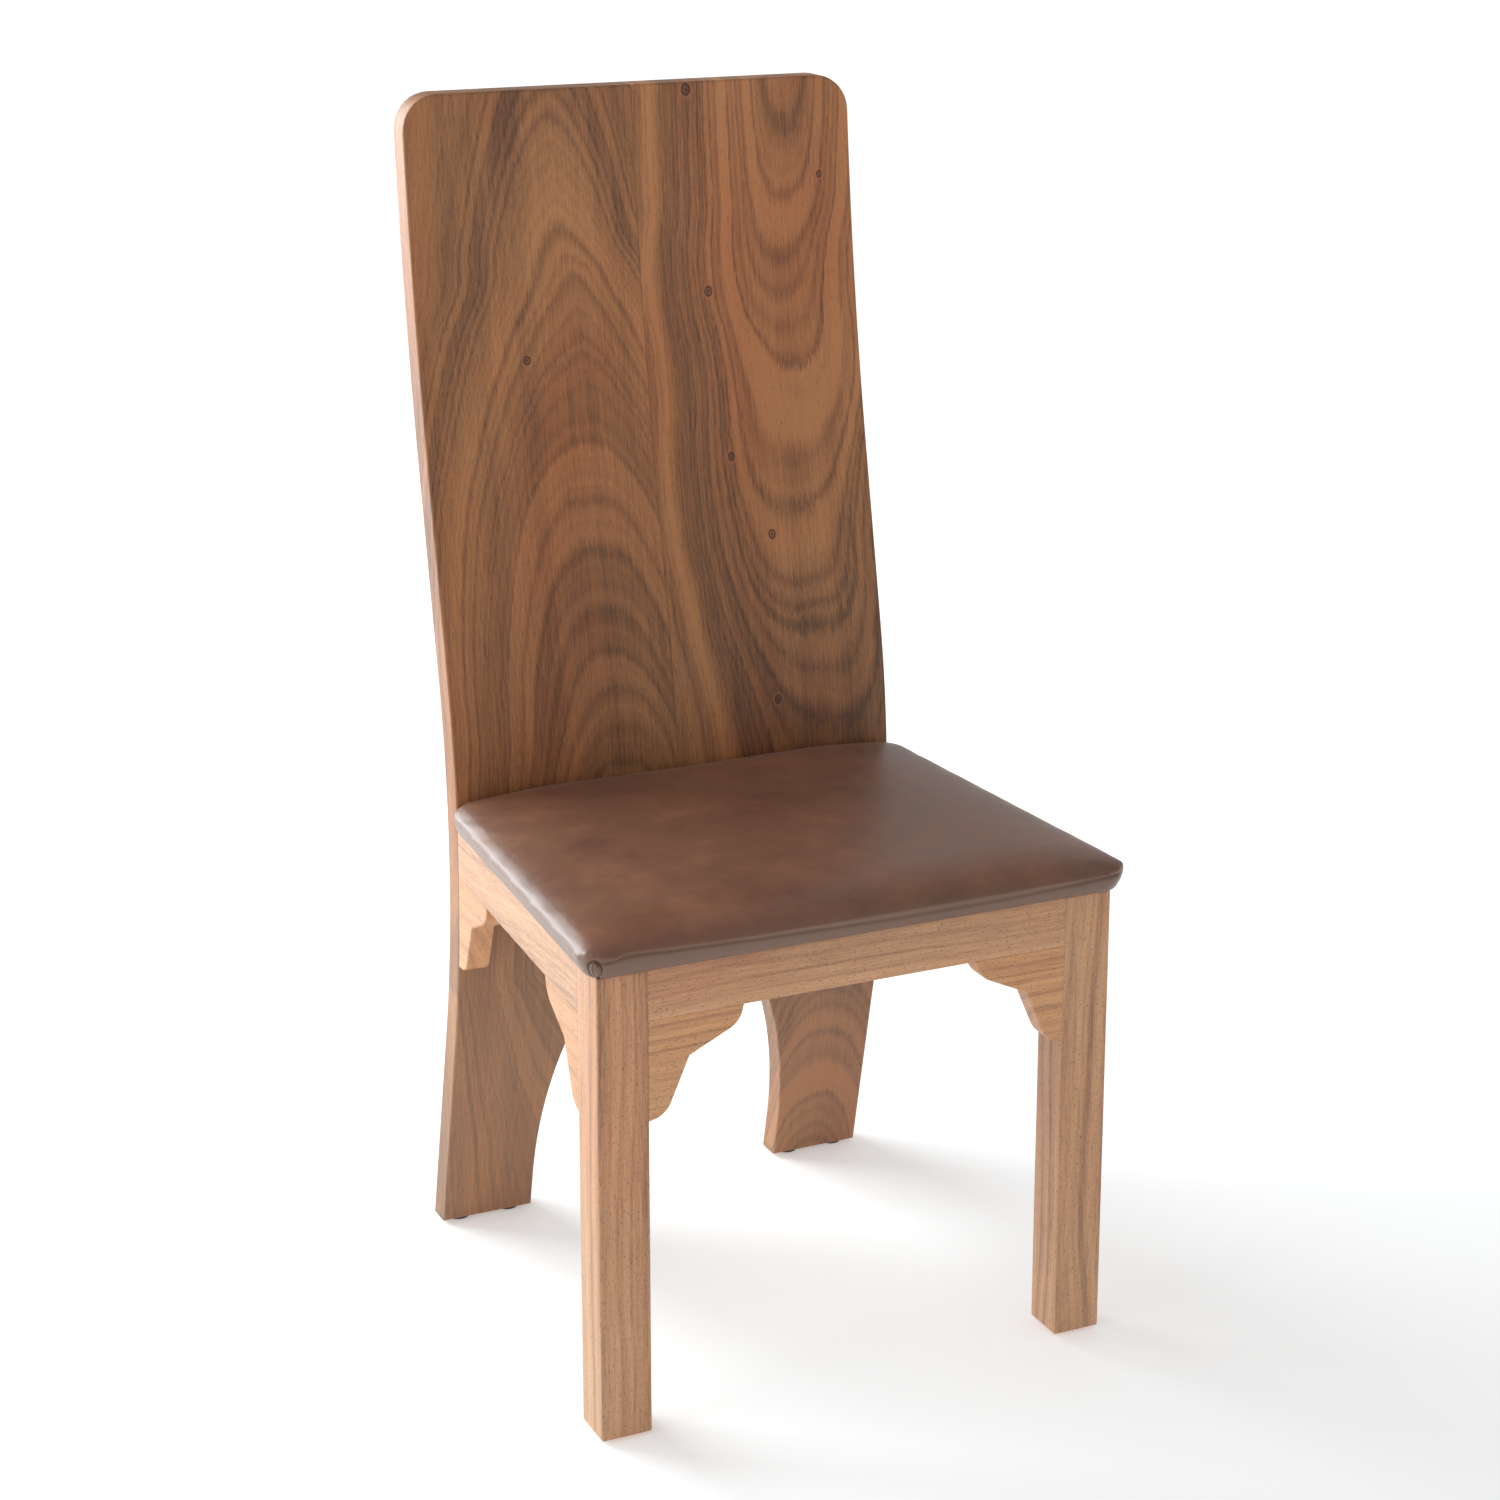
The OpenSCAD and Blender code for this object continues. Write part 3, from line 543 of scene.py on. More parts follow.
def boardGrid(inset, columns=22, footSteps=5, archSteps=30, edgeSteps=60, cornerSteps=10):
    # x and z of a board seen from the front, in level rows: up the foot, up the arch by its
    # angle (half * cos t, spring + high * sin t), up the straight edges, and round the top corner
    # by its angle. inset moves every edge in.
    half, low, top = boardHigh.x, boardLow.z + inset, boardHigh.z
    radius = back["cornerRadius"] - inset
    archHigh = back["archCrown"] - back["archSpring"] + inset
    archAngle = np.radians(np.linspace(0, 90, archSteps))
    cornerAngle = np.radians(np.linspace(0, 90, cornerSteps))
    cornerZ = top - back["cornerRadius"]
    z = np.concatenate([
        np.linspace(low, back["archSpring"], footSteps)[:-1],
        back["archSpring"] + archHigh * np.sin(archAngle),
        np.linspace(back["archSpring"] + archHigh, cornerZ, edgeSteps)[1:-1],
        cornerZ + radius * np.sin(cornerAngle)])
    inner = np.full(len(z), back["jointEase"] * inset / back["ease"])
    inner[:footSteps - 1] = back["archHalf"] + inset
    arch = slice(footSteps - 1, footSteps - 1 + archSteps)
    inner[arch] = np.maximum((back["archHalf"] + inset) * np.cos(archAngle), inner[arch])
    outer = np.full(len(z), half - inset)
    outer[-cornerSteps:] = half - back["cornerRadius"] + radius * np.cos(cornerAngle)
    share = np.linspace(0, 1, columns)
    x = inner[:, None] + (outer - inner)[:, None] * share
    return np.stack([x, np.broadcast_to(z[:, None], x.shape)], -1)


def backBoard(name, side, material, easeSteps=5):
    # a grid for the front face, rings round the eased edges, and a grid for the rear face. Depth d
    # runs from 0 at the front face to thick at the rear: y = front + (rear - front) * d / thick.
    ease, thick, rim = back["ease"], back["thick"], back["rim"]
    grid = boardGrid(ease + rim)
    rows, columns = grid.shape[:2]
    numbers = np.arange(rows * columns).reshape(rows, columns)
    edge = np.concatenate([numbers[0, :-1], numbers[:-1, -1], numbers[-1, :0:-1], numbers[:0:-1, 0]])
    turn = np.linspace(0, math.pi / 2, easeSteps)
    steps = [(ease * (1 - math.sin(t)), ease * (1 - math.cos(t))) for t in turn] + [(0, ease + rim)]
    steps += [(inset, thick - depth) for inset, depth in reversed(steps)]
    layers = [boardGrid(inset).reshape(-1, 2)[edge] for inset, depth in steps]
    flat = np.concatenate([grid.reshape(-1, 2), *layers, grid.reshape(-1, 2)])
    depth = np.concatenate([np.zeros(rows * columns), np.repeat([d for i, d in steps], len(edge)),
                            np.full(rows * columns, thick)])
    x, z = flat.T
    y = backFront(z) + (backRear(z) - backFront(z)) * depth / thick
    around = len(edge)
    rearFirst = rows * columns + len(steps) * around
    rings = np.array([edge, *[rows * columns + i * around + np.arange(around) for i in range(len(steps))],
                      edge + rearFirst])
    strips = [np.stack([low, np.roll(low, -1), np.roll(high, -1), high], 1)
              for low, high in zip(rings, rings[1:])]
    faces = np.concatenate([gridFaces(rows, columns), *strips, gridFaces(rows, columns, rearFirst)[:, ::-1]])
    piece = meshPiece(name, np.stack([x * side, y, z], 1), faces, material, standsFor=[name])
    attribute = piece.data.attributes.new("depth", "FLOAT", "POINT")
    attribute.data.foreach_set("value", depth)


backBoard("back_board_left", -1, leftWood)
backBoard("back_board_right", 1, rightWood)
print("back boards made")

# Front legs: straight and square, with eased edges.
legs = dict(ease=0.0018, innerEase=0.0005, endEase=0.0018,
            pith=dict(right=(0.16, -0.33), left=(-0.31, -0.16)))
legLook = dict(woodLook, light=(218, 173, 132), middle=(194, 149, 111), dark=(136, 100, 73), poreDark=0.52,
               poreShort=10.0, contrast=0.46, fibre=0.17, ribbon=0.13, hair=0.20, coat=0.30)


def frontLeg(side, word):
    # the leg's square outline, carried up from the floor
    name = "front_leg_" + word
    radii = [legs["innerEase"], legs["ease"], legs["innerEase"], legs["ease"]]
    rings = easedRings(boxOutline(legLow, legHigh, radii), legHigh.z - legLow.z, legs["endEase"])
    material = stickWood("oiled wood " + name, "z", legs["pith"][word], legLook)
    woodPiece(name, rings, material, mirrored(side, lambda p: p + (0, 0, legLow.z)))


bothSides = ((1, "right"), (-1, "left"))
for side, word in bothSides:
    frontLeg(side, word)
print("legs made")

# Rails: the front rail runs across, and the side rails run back to the board and close in with it.
rails = dict(ease=0.0006, endEase=0.0001, frontPith=(-0.35, 0.30), sidePith=(0.30, 0.36), frontContrast=0.34)
railLow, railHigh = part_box("front_rail")
railThick = railHigh.y - railLow.y
halfFront, halfBack = legHigh.x, boardHigh.x
legBack = legHigh.y
backFace = frontY + back["forward"]
splay = math.atan((halfFront - halfBack) / (backFace - legBack))
sideLength = (backFace - legBack) / math.cos(splay)


def alongSide(p):
    # from (run back from the leg, depth d inwards, height) to its place on the right, turned by the
    # splay angle s: x = half - run sin s - d cos s, y = leg + run cos s - d sin s. The run is cut
    # to the leg's rear face and to the back's curved face.
    run, depth, z = p.T
    skew = depth * math.tan(splay)
    run = np.clip(run, skew, (backFront(z) - legBack) / math.cos(splay) + skew)
    return np.stack([halfFront - run * math.sin(splay) - depth * math.cos(splay),
                     legBack + run * math.cos(splay) - depth * math.sin(splay), z], 1)


def frontRail():
    # its section in y and z, carried along x
    section = boxOutline((railLow.y, railLow.z), (railHigh.y, railHigh.z), [rails["ease"]] * 4)
    rings = easedRings(section, railHigh.x - railLow.x, rails["endEase"])
    material = stickWood("oiled wood front rail", "x", rails["frontPith"],
                         dict(legLook, contrast=rails["frontContrast"]))
    woodPiece("front_rail", rings, material,
              lambda p: np.stack([railLow.x + p[:, 2], p[:, 0], p[:, 1]], 1))


def sideRail(side, word):
    # its section in depth and height, carried from 0 at the leg to 1 at the back's face
    name = "side_rail_" + word
    section = boxOutline((0, railLow.z), (railThick, railHigh.z), [rails["ease"]] * 4)
    rings = easedRings(section, 1.0, rails["endEase"])

    def place(p):
        # run = d tan(splay) + share * reach
        depth, z, share = p.T
        reach = (backFront(z) - legBack) / math.cos(splay)
        return alongSide(np.stack([depth * math.tan(splay) + share * reach, depth, z], 1))

    pithIn, pithUp = rails["sidePith"]
    material = stickWood("oiled wood " + name, "y", (pithIn, side * pithUp), legLook)
    woodPiece(name, rings, material, mirrored(side, place))


frontRail()
for side, word in bothSides:
    sideRail(side, word)
print("rails made")

# Brackets: two rounded lobes with a notch between them. scribe is the rear bracket's extra wood,
# which is cut to the back's curve.
bracket = dict(reach=0.086, drop=0.089, lobe=0.022, notch=0.037, ease=0.0014, joint=0.0003, steps=10,
               uprightSteps=9, scribe=0.012)


def bracketOutline(scribe):
    # counter-clockwise from the inner corner, u along the rail and v up, with the bracket below
    # v = 0: round the lower lobe, by the notch, round the outer lobe. scribe is extra wood past
    # the upright edge. Each lobe is an arc from a straight edge to the line through the notch,
    # which it touches at the angle of the way to the notch plus or minus acos(lobe / distance).
    lobe, notch = bracket["lobe"], np.array([bracket["notch"], -bracket["notch"]])
    lower, outer = np.array([0, lobe - bracket["drop"]]), np.array([bracket["reach"] - lobe, 0])

    def touch(centre, turn):
        # the angle at which the line through the notch touches a lobe
        way = notch - centre
        base, off = math.atan2(way[1], way[0]), math.acos(lobe / np.hypot(*way))
        return base + turn * off

    def lobeArc(centre, start, end):
        # centre + lobe * (cos t, sin t)
        angle = np.linspace(start, end, bracket["steps"])
        return centre + lobe * np.stack([np.cos(angle), np.sin(angle)], 1)

    count = bracket["uprightSteps"]
    upright = np.stack([np.full(count, -scribe), np.linspace(0, -bracket["drop"], count)], 1)
    curve = np.concatenate([lobeArc(lower, -math.pi / 2, touch(lower, -1)), [notch],
                            lobeArc(outer, touch(outer, 1), 0)])
    outline = np.concatenate([upright if scribe else upright[:-1], curve])
    ease = np.full(len(outline), bracket["ease"])
    ease[:count] = ease[-1] = bracket["joint"]
    return outline, ease


def makeBracket(name, material, place, scribe=0.0):
    # the outline carried through the rail's thickness
    outline, ease = bracketOutline(scribe)
    ways = insetWays(outline)
    rings = easedRings(lambda inset: outline + ways * inset, railThick, ease[:, None])
    woodPiece(name, rings, material, place)


def frontBracketPlace(p):
    # u runs in from the leg's inner face, and the depth back from the front
    return np.stack([legLow.x - p[:, 0], frontY + p[:, 2], railLow.z + p[:, 1]], 1)


def sideFrontPlace(p):
    # u runs back from the leg
    return alongSide(np.stack([p[:, 0], p[:, 2], railLow.z + p[:, 1]], 1))


def sideRearPlace(p):
    # u runs forward from the back's face
    return alongSide(np.stack([sideLength - p[:, 0], p[:, 2], railLow.z + p[:, 1]], 1))


bracketLook = dict(legLook, light=(222, 170, 120), middle=(202, 150, 104), dark=(150, 108, 76), contrast=0.50)
for side, word in bothSides:
    levelWood = stickWood("oiled wood front bracket " + word, "x", (-0.30, 0.20 + 0.03 * side), bracketLook)
    runWood = stickWood("oiled wood side brackets " + word, "y", (0.22, side * 0.40), bracketLook)
    makeBracket("front_bracket_" + word, levelWood, mirrored(side, frontBracketPlace))
    makeBracket("side_front_bracket_" + word, runWood, mirrored(side, sideFrontPlace))
    makeBracket("side_rear_bracket_" + word, runWood, mirrored(side, sideRearPlace), bracket["scribe"])
print("brackets made")

# Slip seat: leather over foam on a board. The rolls are how far in the top takes to rise from each
# edge, the depths are how far in each ring of the form lies, and reach caps the simulation.
coverLow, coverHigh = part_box("seat_cover")
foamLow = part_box("seat_foam")[0]
seat = dict(edgeRadius=0.012, bulge=0.0092, bulgeHigh=0.0190, top=0.0350, crown=0.0030, under=0.003,
            leatherOut=0.0018, edgeRound=0.012, frontRound=0.016, edgeRise=0.0050,
            sideRoll=0.100, frontRoll=0.060, rearRoll=0.050, rearSunk=0.020,
            domeMiddle=-0.064, domeHalf=0.193,
            underDepths=(0.150, 0.100, 0.060, 0.030, 0.012, 0.004, 0.001), sideSteps=8, sideFirst=0.06,
            topDepths=(0.0006, 0.0015, 0.003, 0.005, 0.008, 0.012, 0.017, 0.023, 0.030, 0.040, 0.055, 0.075,
                       0.100, 0.130, 0.160), cornerShare=0.4, cornerSteps=6, sidePoints=60,
            voxel=0.004, frames=20, quality=4, pressure=4.0, reach=0.0018, fill=0.8)
seatSlope = (coverHigh.x - halfBack) / (coverHigh.y - coverLow.y)


def smoothStep(value, low, high):
    # 3 s^2 - 2 s^3, where s is the share of the way from low to high
    share = np.clip((value - low) / (high - low), 0, 1)
    return share * share * (3 - 2 * share)


def halfWidth(y):
    # half the seat's width, which closes in towards the back by seatSlope
    return coverHigh.x - seatSlope * (y - coverLow.y)


def seatPlan(out, radius):
    # the seat's outline moved out by an amount, but never past the back's face, with round corners
    # and sidePoints more points along each side
    front, rear = coverLow.y - out, coverHigh.y + min(out, 0)
    wider = out * math.hypot(1, seatSlope)
    frontX, rearX = halfWidth(front) + wider, halfWidth(rear) + wider
    corners = [(-frontX, front), (frontX, front), (rearX, rear), (-rearX, rear)]
    arcs = roundedOutline(corners, [radius] * 4, seat["cornerSteps"]).reshape(4, -1, 2)
    share = np.linspace(0, 1, seat["sidePoints"] + 2)[1:-1, None]
    sides = [np.concatenate([arc, arc[-1] + (after[0] - arc[-1]) * share])
             for arc, after in zip(arcs, np.roll(arcs, -1, 0))]
    return np.concatenate(sides)


def seatTop(plan, start, high, crown, out):
    # the top's height over the bulge at a distance d in from each side: a quarter round by the
    # nearest side, then a product of slow rolls 1 - (1 - d / roll) ^ 2, and a low dome
    x, y = plan.T
    toSide = halfWidth(y) + out - np.abs(x)
    toFront, toRear = y - coverLow.y + out, coverHigh.y + seat["rearSunk"] - y
    rolled = 1.0
    for gap, roll in ((toSide, seat["sideRoll"]), (toFront, seat["frontRoll"]), (toRear, seat["rearRoll"])):
        rolled = rolled * (1 - (1 - np.clip(gap / roll, 0, 1)) ** 2)
    nearest = np.clip(np.minimum(toSide / seat["edgeRound"], toFront / seat["frontRound"]), 0, 1)
    quarter = seat["edgeRise"] * np.sqrt(1 - (1 - nearest) ** 2)
    across, along = x / coverHigh.x, (y - seat["domeMiddle"]) / seat["domeHalf"]
    dome = (1 - across ** 2) * (1 - along ** 2).clip(0, 1)
    return start + quarter + (high - start - seat["edgeRise"]) * rolled + crown * dome


def seatForm(name, inset, low, bulgeZ, high, material, standsFor):
    # rings: in under the seat, up its bulging side by the sine of the height, and in over the top
    bulge = seat["bulge"] - inset
    rings = []
    for depth in seat["underDepths"]:
        plan = seatPlan(-inset - depth, seat["edgeRadius"] + depth * seat["cornerShare"])
        rings.append((plan, low))
    for share in np.linspace(seat["sideFirst"], 1, seat["sideSteps"]):
        out = -inset + seat["bulge"] * math.sin(share * math.pi / 2)
        rings.append((seatPlan(out, seat["edgeRadius"] + max(out, 0)), low + (bulgeZ - low) * share))
    for depth in seat["topDepths"]:
        radius = seat["edgeRadius"] + seat["bulge"] + depth * seat["cornerShare"]
        plan = seatPlan(bulge - depth, radius)
        rings.append((plan, seatTop(plan, bulgeZ, high, seat["crown"], bulge)))
    points = [np.concatenate([plan, np.broadcast_to(z, len(plan))[:, None]], 1) for plan, z in rings]
    points = np.array(points)
    return meshPiece(name, points, closedRings(points), material, standsFor=standsFor)


def applied(piece):
    # the piece's mesh with its modifiers carried out
    tree = bpy.context.evaluated_depsgraph_get()
    mesh = bpy.data.meshes.new_from_object(piece.evaluated_get(tree))
    piece.modifiers.clear()
    old, piece.data = piece.data, mesh
    bpy.data.meshes.remove(old)


def pointsOf(mesh):
    # the mesh's points as rows of x, y, z
    points = np.empty(len(mesh.vertices) * 3)
    mesh.vertices.foreach_get("co", points)
    return points.reshape(-1, 3)


def setPoints(mesh, points):
    # puts the points back into the mesh
    mesh.vertices.foreach_set("co", np.ascontiguousarray(points).ravel())
    mesh.update()


def puff(piece):
    # evens the mesh out, then lets it swell under pressure: each point goes by its move times
    # min(1, reach / length of the move), and one subdivision rounds the result
    remesh = piece.modifiers.new("even", "REMESH")
    remesh.mode, remesh.voxel_size = "VOXEL", seat["voxel"]
    applied(piece)
    start = pointsOf(piece.data)
    cloth = piece.modifiers.new("puff", "CLOTH")
    cloth.settings.quality = seat["quality"]
    cloth.settings.use_pressure = True
    cloth.settings.uniform_pressure_force = seat["pressure"]
    cloth.settings.effector_weights.gravity = 0
    cloth.collision_settings.use_collision = False
    cloth.point_cache.frame_start, cloth.point_cache.frame_end = 1, seat["frames"]
    for number in range(1, seat["frames"] + 1):
        bpy.context.scene.frame_set(number)
    applied(piece)
    bpy.context.scene.frame_set(1)
    moved = pointsOf(piece.data) - start
    far = np.linalg.norm(moved, axis=1, keepdims=True)
    print("cloth moved", float(far.mean()), float(far.max()))
    setPoints(piece.data, start + moved * np.minimum(1, seat["reach"] / np.maximum(far, 1e-9)))
    finer = piece.modifiers.new("finer", "SUBSURF")
    finer.levels = finer.render_levels = 1
    applied(piece)


def splitWhere(piece, wanted):
    # halves the edges whose two ends are both wanted
    work = bmesh.new()
    work.from_mesh(piece.data)
    chosen = wanted(pointsOf(piece.data))
    edges = [edge for edge in work.edges if chosen[edge.verts[0].index] and chosen[edge.verts[1].index]]
    bmesh.ops.subdivide_edges(work, edges=edges, cuts=1, use_grid_fill=True, smooth=0.0)
    work.to_mesh(piece.data)
    work.free()


# What the upholsterer's pull leaves in the leather, in metres: a crease along the front with a
# band under it (heights over the lower edge, by x), a folded ear on the left front corner, and a
# small tuck at the right one. Angles are in degrees, and each depth or swell has its own width.
crease = dict(heights=[(-0.25, 0.015), (-0.236, 0.0165), (-0.218, 0.0195), (-0.19, 0.0185), (-0.1, 0.0150),
                       (0.03, 0.0120), (0.13, 0.0125), (0.20, 0.0150), (0.235, 0.0170), (0.26, 0.0170)],
              depth=0.0015, width=0.0016, brow=0.0007, browRise=(0.0005, 0.006), browFall=(0.008, 0.018),
              frontAt=(0.246, 0.256), endsAt=0.2475, endsOver=0.010)
lip = dict(high=0.0030, turnIn=0.0017, sidesAt=(0.200, 0.215), frontAt=(0.240, 0.250), backGap=0.0008)
corner = dict(middle=0.012, arc=0.018, outside=0.010, reach=0.02, front=-0.235)
ear = dict(turn=-126, half=0.0056, high=0.0088, swell=0.0016, rim=0.0020, rimWidth=0.15,
           fold=0.0010, foldWidth=0.22, foldAt=0.0014, foldHalf=0.46, foldHigh=0.86)
tuck = dict(turn=-52, low=0.0030, bend=500.0, bendAt=-0.001, depth=0.0012, width=0.0010, fade=(0.007, 0.011))
split = dict(below=0.450, front=-0.243, corners=-0.236, side=0.222)


def groove(gap, width):
    # a soft furrow: e ^ -(gap / width) ^ 2
    return np.exp(-(gap / width) ** 2)


def earLift(along, up):
    # a half ellipsoid swell with a furrow round it and a fold inside, each ring a scaled ellipse
    ring = np.hypot(along / ear["half"], up / ear["high"])
    inner = np.hypot((along - ear["foldAt"]) / (ear["foldHalf"] * ear["half"]),
                     up / (ear["foldHigh"] * ear["high"]))
    swell = ear["swell"] * (1 - ring ** 2).clip(0, 1) ** 0.5
    rim = ear["rim"] * groove(ring - 1, ear["rimWidth"])
    return swell - rim - ear["fold"] * groove(inner - 1, ear["foldWidth"])


def tuckLift(along, up):
    # a furrow along the arch low - bend * (along - bendAt) ^ 2 over the lower edge, fading out to
    # the sides
    fold = up + ear["high"] - tuck["low"] + tuck["bend"] * (along - tuck["bendAt"]) ** 2
    return -tuck["depth"] * groove(fold, tuck["width"]) * (1 - smoothStep(np.abs(along), *tuck["fade"]))


def shapeSeat(piece):
    # a flat underside, the rear against the back, then the crease, the ear and the tuck
    splitWhere(piece, lambda p: (p[:, 1] < split["front"]) & (p[:, 2] < split["below"]))
    splitWhere(piece, lambda p: (p[:, 1] < split["corners"]) & (np.abs(p[:, 0]) > split["side"])
               & (p[:, 2] < split["below"]))
    x, y, z = pointsOf(piece.data).T
    z = np.maximum(z, coverLow.z)
    # the lower edge turns in by a quarter round
    low = (1 - (z - coverLow.z) / lip["high"]).clip(0, 1)
    turnIn = lip["turnIn"] * (1 - np.sqrt(1 - low ** 2))
    x = x - np.sign(x) * turnIn * smoothStep(np.abs(x), *lip["sidesAt"])
    y = y + turnIn * smoothStep(-y, *lip["frontAt"])
    y = np.minimum(y, backFront(z) - lip["backGap"])
    ends = smoothStep(crease["endsAt"] - np.abs(x), 0.0, crease["endsOver"])
    front = smoothStep(-y, *crease["frontAt"]) * ends
    places, heights = np.array(crease["heights"]).T
    gap = z - coverLow.z - np.interp(x, places, heights)
    sink = crease["depth"] * groove(gap, crease["width"])
    brow = crease["brow"] * smoothStep(gap, *crease["browRise"]) * (1 - smoothStep(gap, *crease["browFall"]))
    y = y + front * (sink - brow)
    # along runs round the corner's arc and up from the ear's middle
    for side, turnAt, lift in ((-1, ear["turn"], earLift), (1, tuck["turn"], tuckLift)):
        offX = x - side * (coverHigh.x - corner["middle"])
        offY = y - (coverLow.y + corner["middle"])
        radius = np.maximum(np.hypot(offX, offY), 1e-6)
        turn = np.arctan2(offY, offX) - math.radians(turnAt)
        along = corner["arc"] * (np.mod(turn + math.pi, 2 * math.pi) - math.pi)
        near = (radius > corner["outside"]) * (np.abs(along) < corner["reach"]) * (y < corner["front"])
        move = near * lift(along, z - coverLow.z - ear["high"]) / radius
        x, y = x + move * offX, y + move * offY
    setPoints(piece.data, np.stack([x, y, z], 1))
    piece.data.polygons.foreach_set("use_smooth", np.ones(len(piece.data.polygons), bool))


# The grey-brown mixed into the lower band and sides, with its share and the heights where it starts and is
# full, is a painted sheen: the floor's reflection in the leather.
leatherLook = dict(deep=(104, 60, 36), plain=(118, 71, 44), pale=(136, 84, 54), paintedSheen=(104, 84, 70),
                   cloudScale=16.0, freckleScale=75.0, freckles=0.3,
                   paintedSheenShare=0.6, paintedSheenFrom=0.030, paintedSheenFull=0.012,
                   pebbleScale=780.0, foldScale=160.0, folds=0.8, bumpDepth=0.0004,
                   roughness=0.45, duller=0.05, shinier=0.04, grain=0.35,
                   sheen=0.10, sheenRoughness=0.4, coat=0.35, coatRoughness=0.34, ior=1.48)


def brownLeather(look):
    # large soft clouds of tone, small worn freckles, and a relief of pebbles + folds. The band and
    # the sides are mixed greyer towards their lower edge: a painted sheen, the floor's reflection.
    material, tree, shader = newMaterial("dark brown leather")
    place = objectPlace(tree)
    clouds = noise(tree, place, look["cloudScale"], 5.0, 0.62)
    freckles = noise(tree, place, look["freckleScale"], 3.0, 0.6)
    base = ramp(tree, clouds, [(0.30, colour(*look["deep"])), (0.5, colour(*look["plain"])),
                               (0.72, colour(*look["pale"]))])
    worn = mixColour(tree, remap(tree, freckles, 0.45, 0.75, 0.0, look["freckles"], smooth=True), base,
                     colour(*look["pale"]))
    height = put(tree, "SeparateXYZ", place).node.outputs[2]
    # painted sheen: near the lower edge of the band and sides, the leather is mixed towards a grey-brown that
    # stands in for the floor's reflection
    share = remap(tree, height, coverLow.z + look["paintedSheenFrom"], coverLow.z + look["paintedSheenFull"],
                  0.0, look["paintedSheenShare"], smooth=True)
    paintedSheen = mixColour(tree, share, worn, colour(*look["paintedSheen"]))
    tree.links.new(paintedSheen, shader.inputs["Base Color"])
    pebble = put(tree, "TexVoronoi", plugs={"Vector": place, "Scale": look["pebbleScale"]},
                 feature="SMOOTH_F1")
    folds = noise(tree, place, look["foldScale"], 3.0, 0.6)
    relief = calc(tree, "ADD", pebble, calc(tree, "MULTIPLY", folds, look["folds"]))
    addBump(tree, shader, relief, look["grain"], look["bumpDepth"])
    tree.links.new(remap(tree, clouds, 0.3, 0.7, look["roughness"] - look["shinier"],
                         look["roughness"] + look["duller"]), shader.inputs["Roughness"])
    shader.inputs["Sheen Weight"].default_value = look["sheen"]
    shader.inputs["Sheen Roughness"].default_value = look["sheenRoughness"]
    shader.inputs["Coat Weight"].default_value = look["coat"]
    shader.inputs["Coat Roughness"].default_value = look["coatRoughness"]
    shader.inputs["IOR"].default_value = look["ior"]
    return material


cover = seatForm("seat_leather_cover", -seat["leatherOut"], coverLow.z - seat["under"],
                 coverLow.z + seat["bulgeHigh"], coverLow.z + seat["top"], brownLeather(leatherLook),
                 ["seat_cover"])
puff(cover)
shapeSeat(cover)
print("seat cover made")


def grainy(name, dark, light, scale, detail=3.0, rough=0.7, roughness=0.9, bump=0.0, bumpDepth=0.0004,
           metallic=False):
    # one fine noise shades the surface from dark to light and raises it, or dulls it if it is metal
    material, tree, shader = newMaterial(name)
    grain = noise(tree, objectPlace(tree), scale, detail, rough)
    shade = ramp(tree, grain, [(0.3, colour(*dark)), (0.7, colour(*light))])
    tree.links.new(shade, shader.inputs["Base Color"])
    shader.inputs["Roughness"].default_value = roughness
    if bump:
        addBump(tree, shader, grain, bump, bumpDepth)
    if metallic:
        dull = remap(tree, grain, 0.3, 0.7, roughness - 0.05, roughness + 0.08)
        tree.links.new(dull, shader.inputs["Roughness"])
        shader.inputs["Metallic"].default_value = 1.0
    return material


# Foam: a plain crowned pad inside the leather.
pad = dict(inset=0.0110, clear=0.0002, bulgeHigh=0.0045, belowLeather=0.0065, fill=0.7)
foamSkin = grainy("seat foam", (196, 176, 120), (232, 218, 172), 900.0, roughness=0.95, bump=0.5,
                  bumpDepth=0.0006)
foam = seatForm("seat_foam_pad", pad["inset"], foamLow.z + pad["clear"], foamLow.z + pad["bulgeHigh"],
                coverLow.z + seat["top"] - pad["belowLeather"], foamSkin, ["seat_foam"])
print("foam made")

# Dust cover: thin black cloth under the seat, stretched over the board and sagging a little
# inside the frame.
dust = dict(inset=0.012, sag=0.004, thick=0.0004, columns=72, rows=56)


def dustCover():
    # a grid over the seat's plan, sagging by (1 - (x / half)^2)(1 - (y / half)^2) inside the rails
    front, rear = coverLow.y + dust["inset"], coverHigh.y - dust["inset"]
    across, run = np.meshgrid(np.linspace(-1, 1, dust["columns"]), np.linspace(0, 1, dust["rows"]))
    half = (coverHigh.x - dust["inset"]) + (halfBack - coverHigh.x) * run
    x, y = across * half, front + (rear - front) * run
    insideX = (1 - (x / (halfBack - railThick)) ** 2).clip(0, 1)
    middleY, halfY = (railHigh.y + backFace - railThick) / 2, (backFace - 2 * railThick - frontY) / 2
    insideY = (1 - ((y - middleY) / halfY) ** 2).clip(0, 1)
    z = coverLow.z - dust["thick"] - dust["sag"] * insideX * insideY
    mesh = bpy.data.meshes.new("dust_cloth")
    mesh.from_pydata(np.stack([x, y, z], -1).reshape(-1, 3).tolist(), [],
                     gridFaces(dust["rows"], dust["columns"]).tolist())
    mesh.polygons.foreach_set("use_smooth", np.ones(len(mesh.polygons), bool))
    piece = bpy.data.objects.new("dust_cloth", mesh)
    bpy.context.scene.collection.objects.link(piece)
    wall = piece.modifiers.new("thickness", "SOLIDIFY")
    wall.thickness, wall.offset = dust["thick"], 0
    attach(piece, "root")
    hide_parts("dust_cover")
    return piece


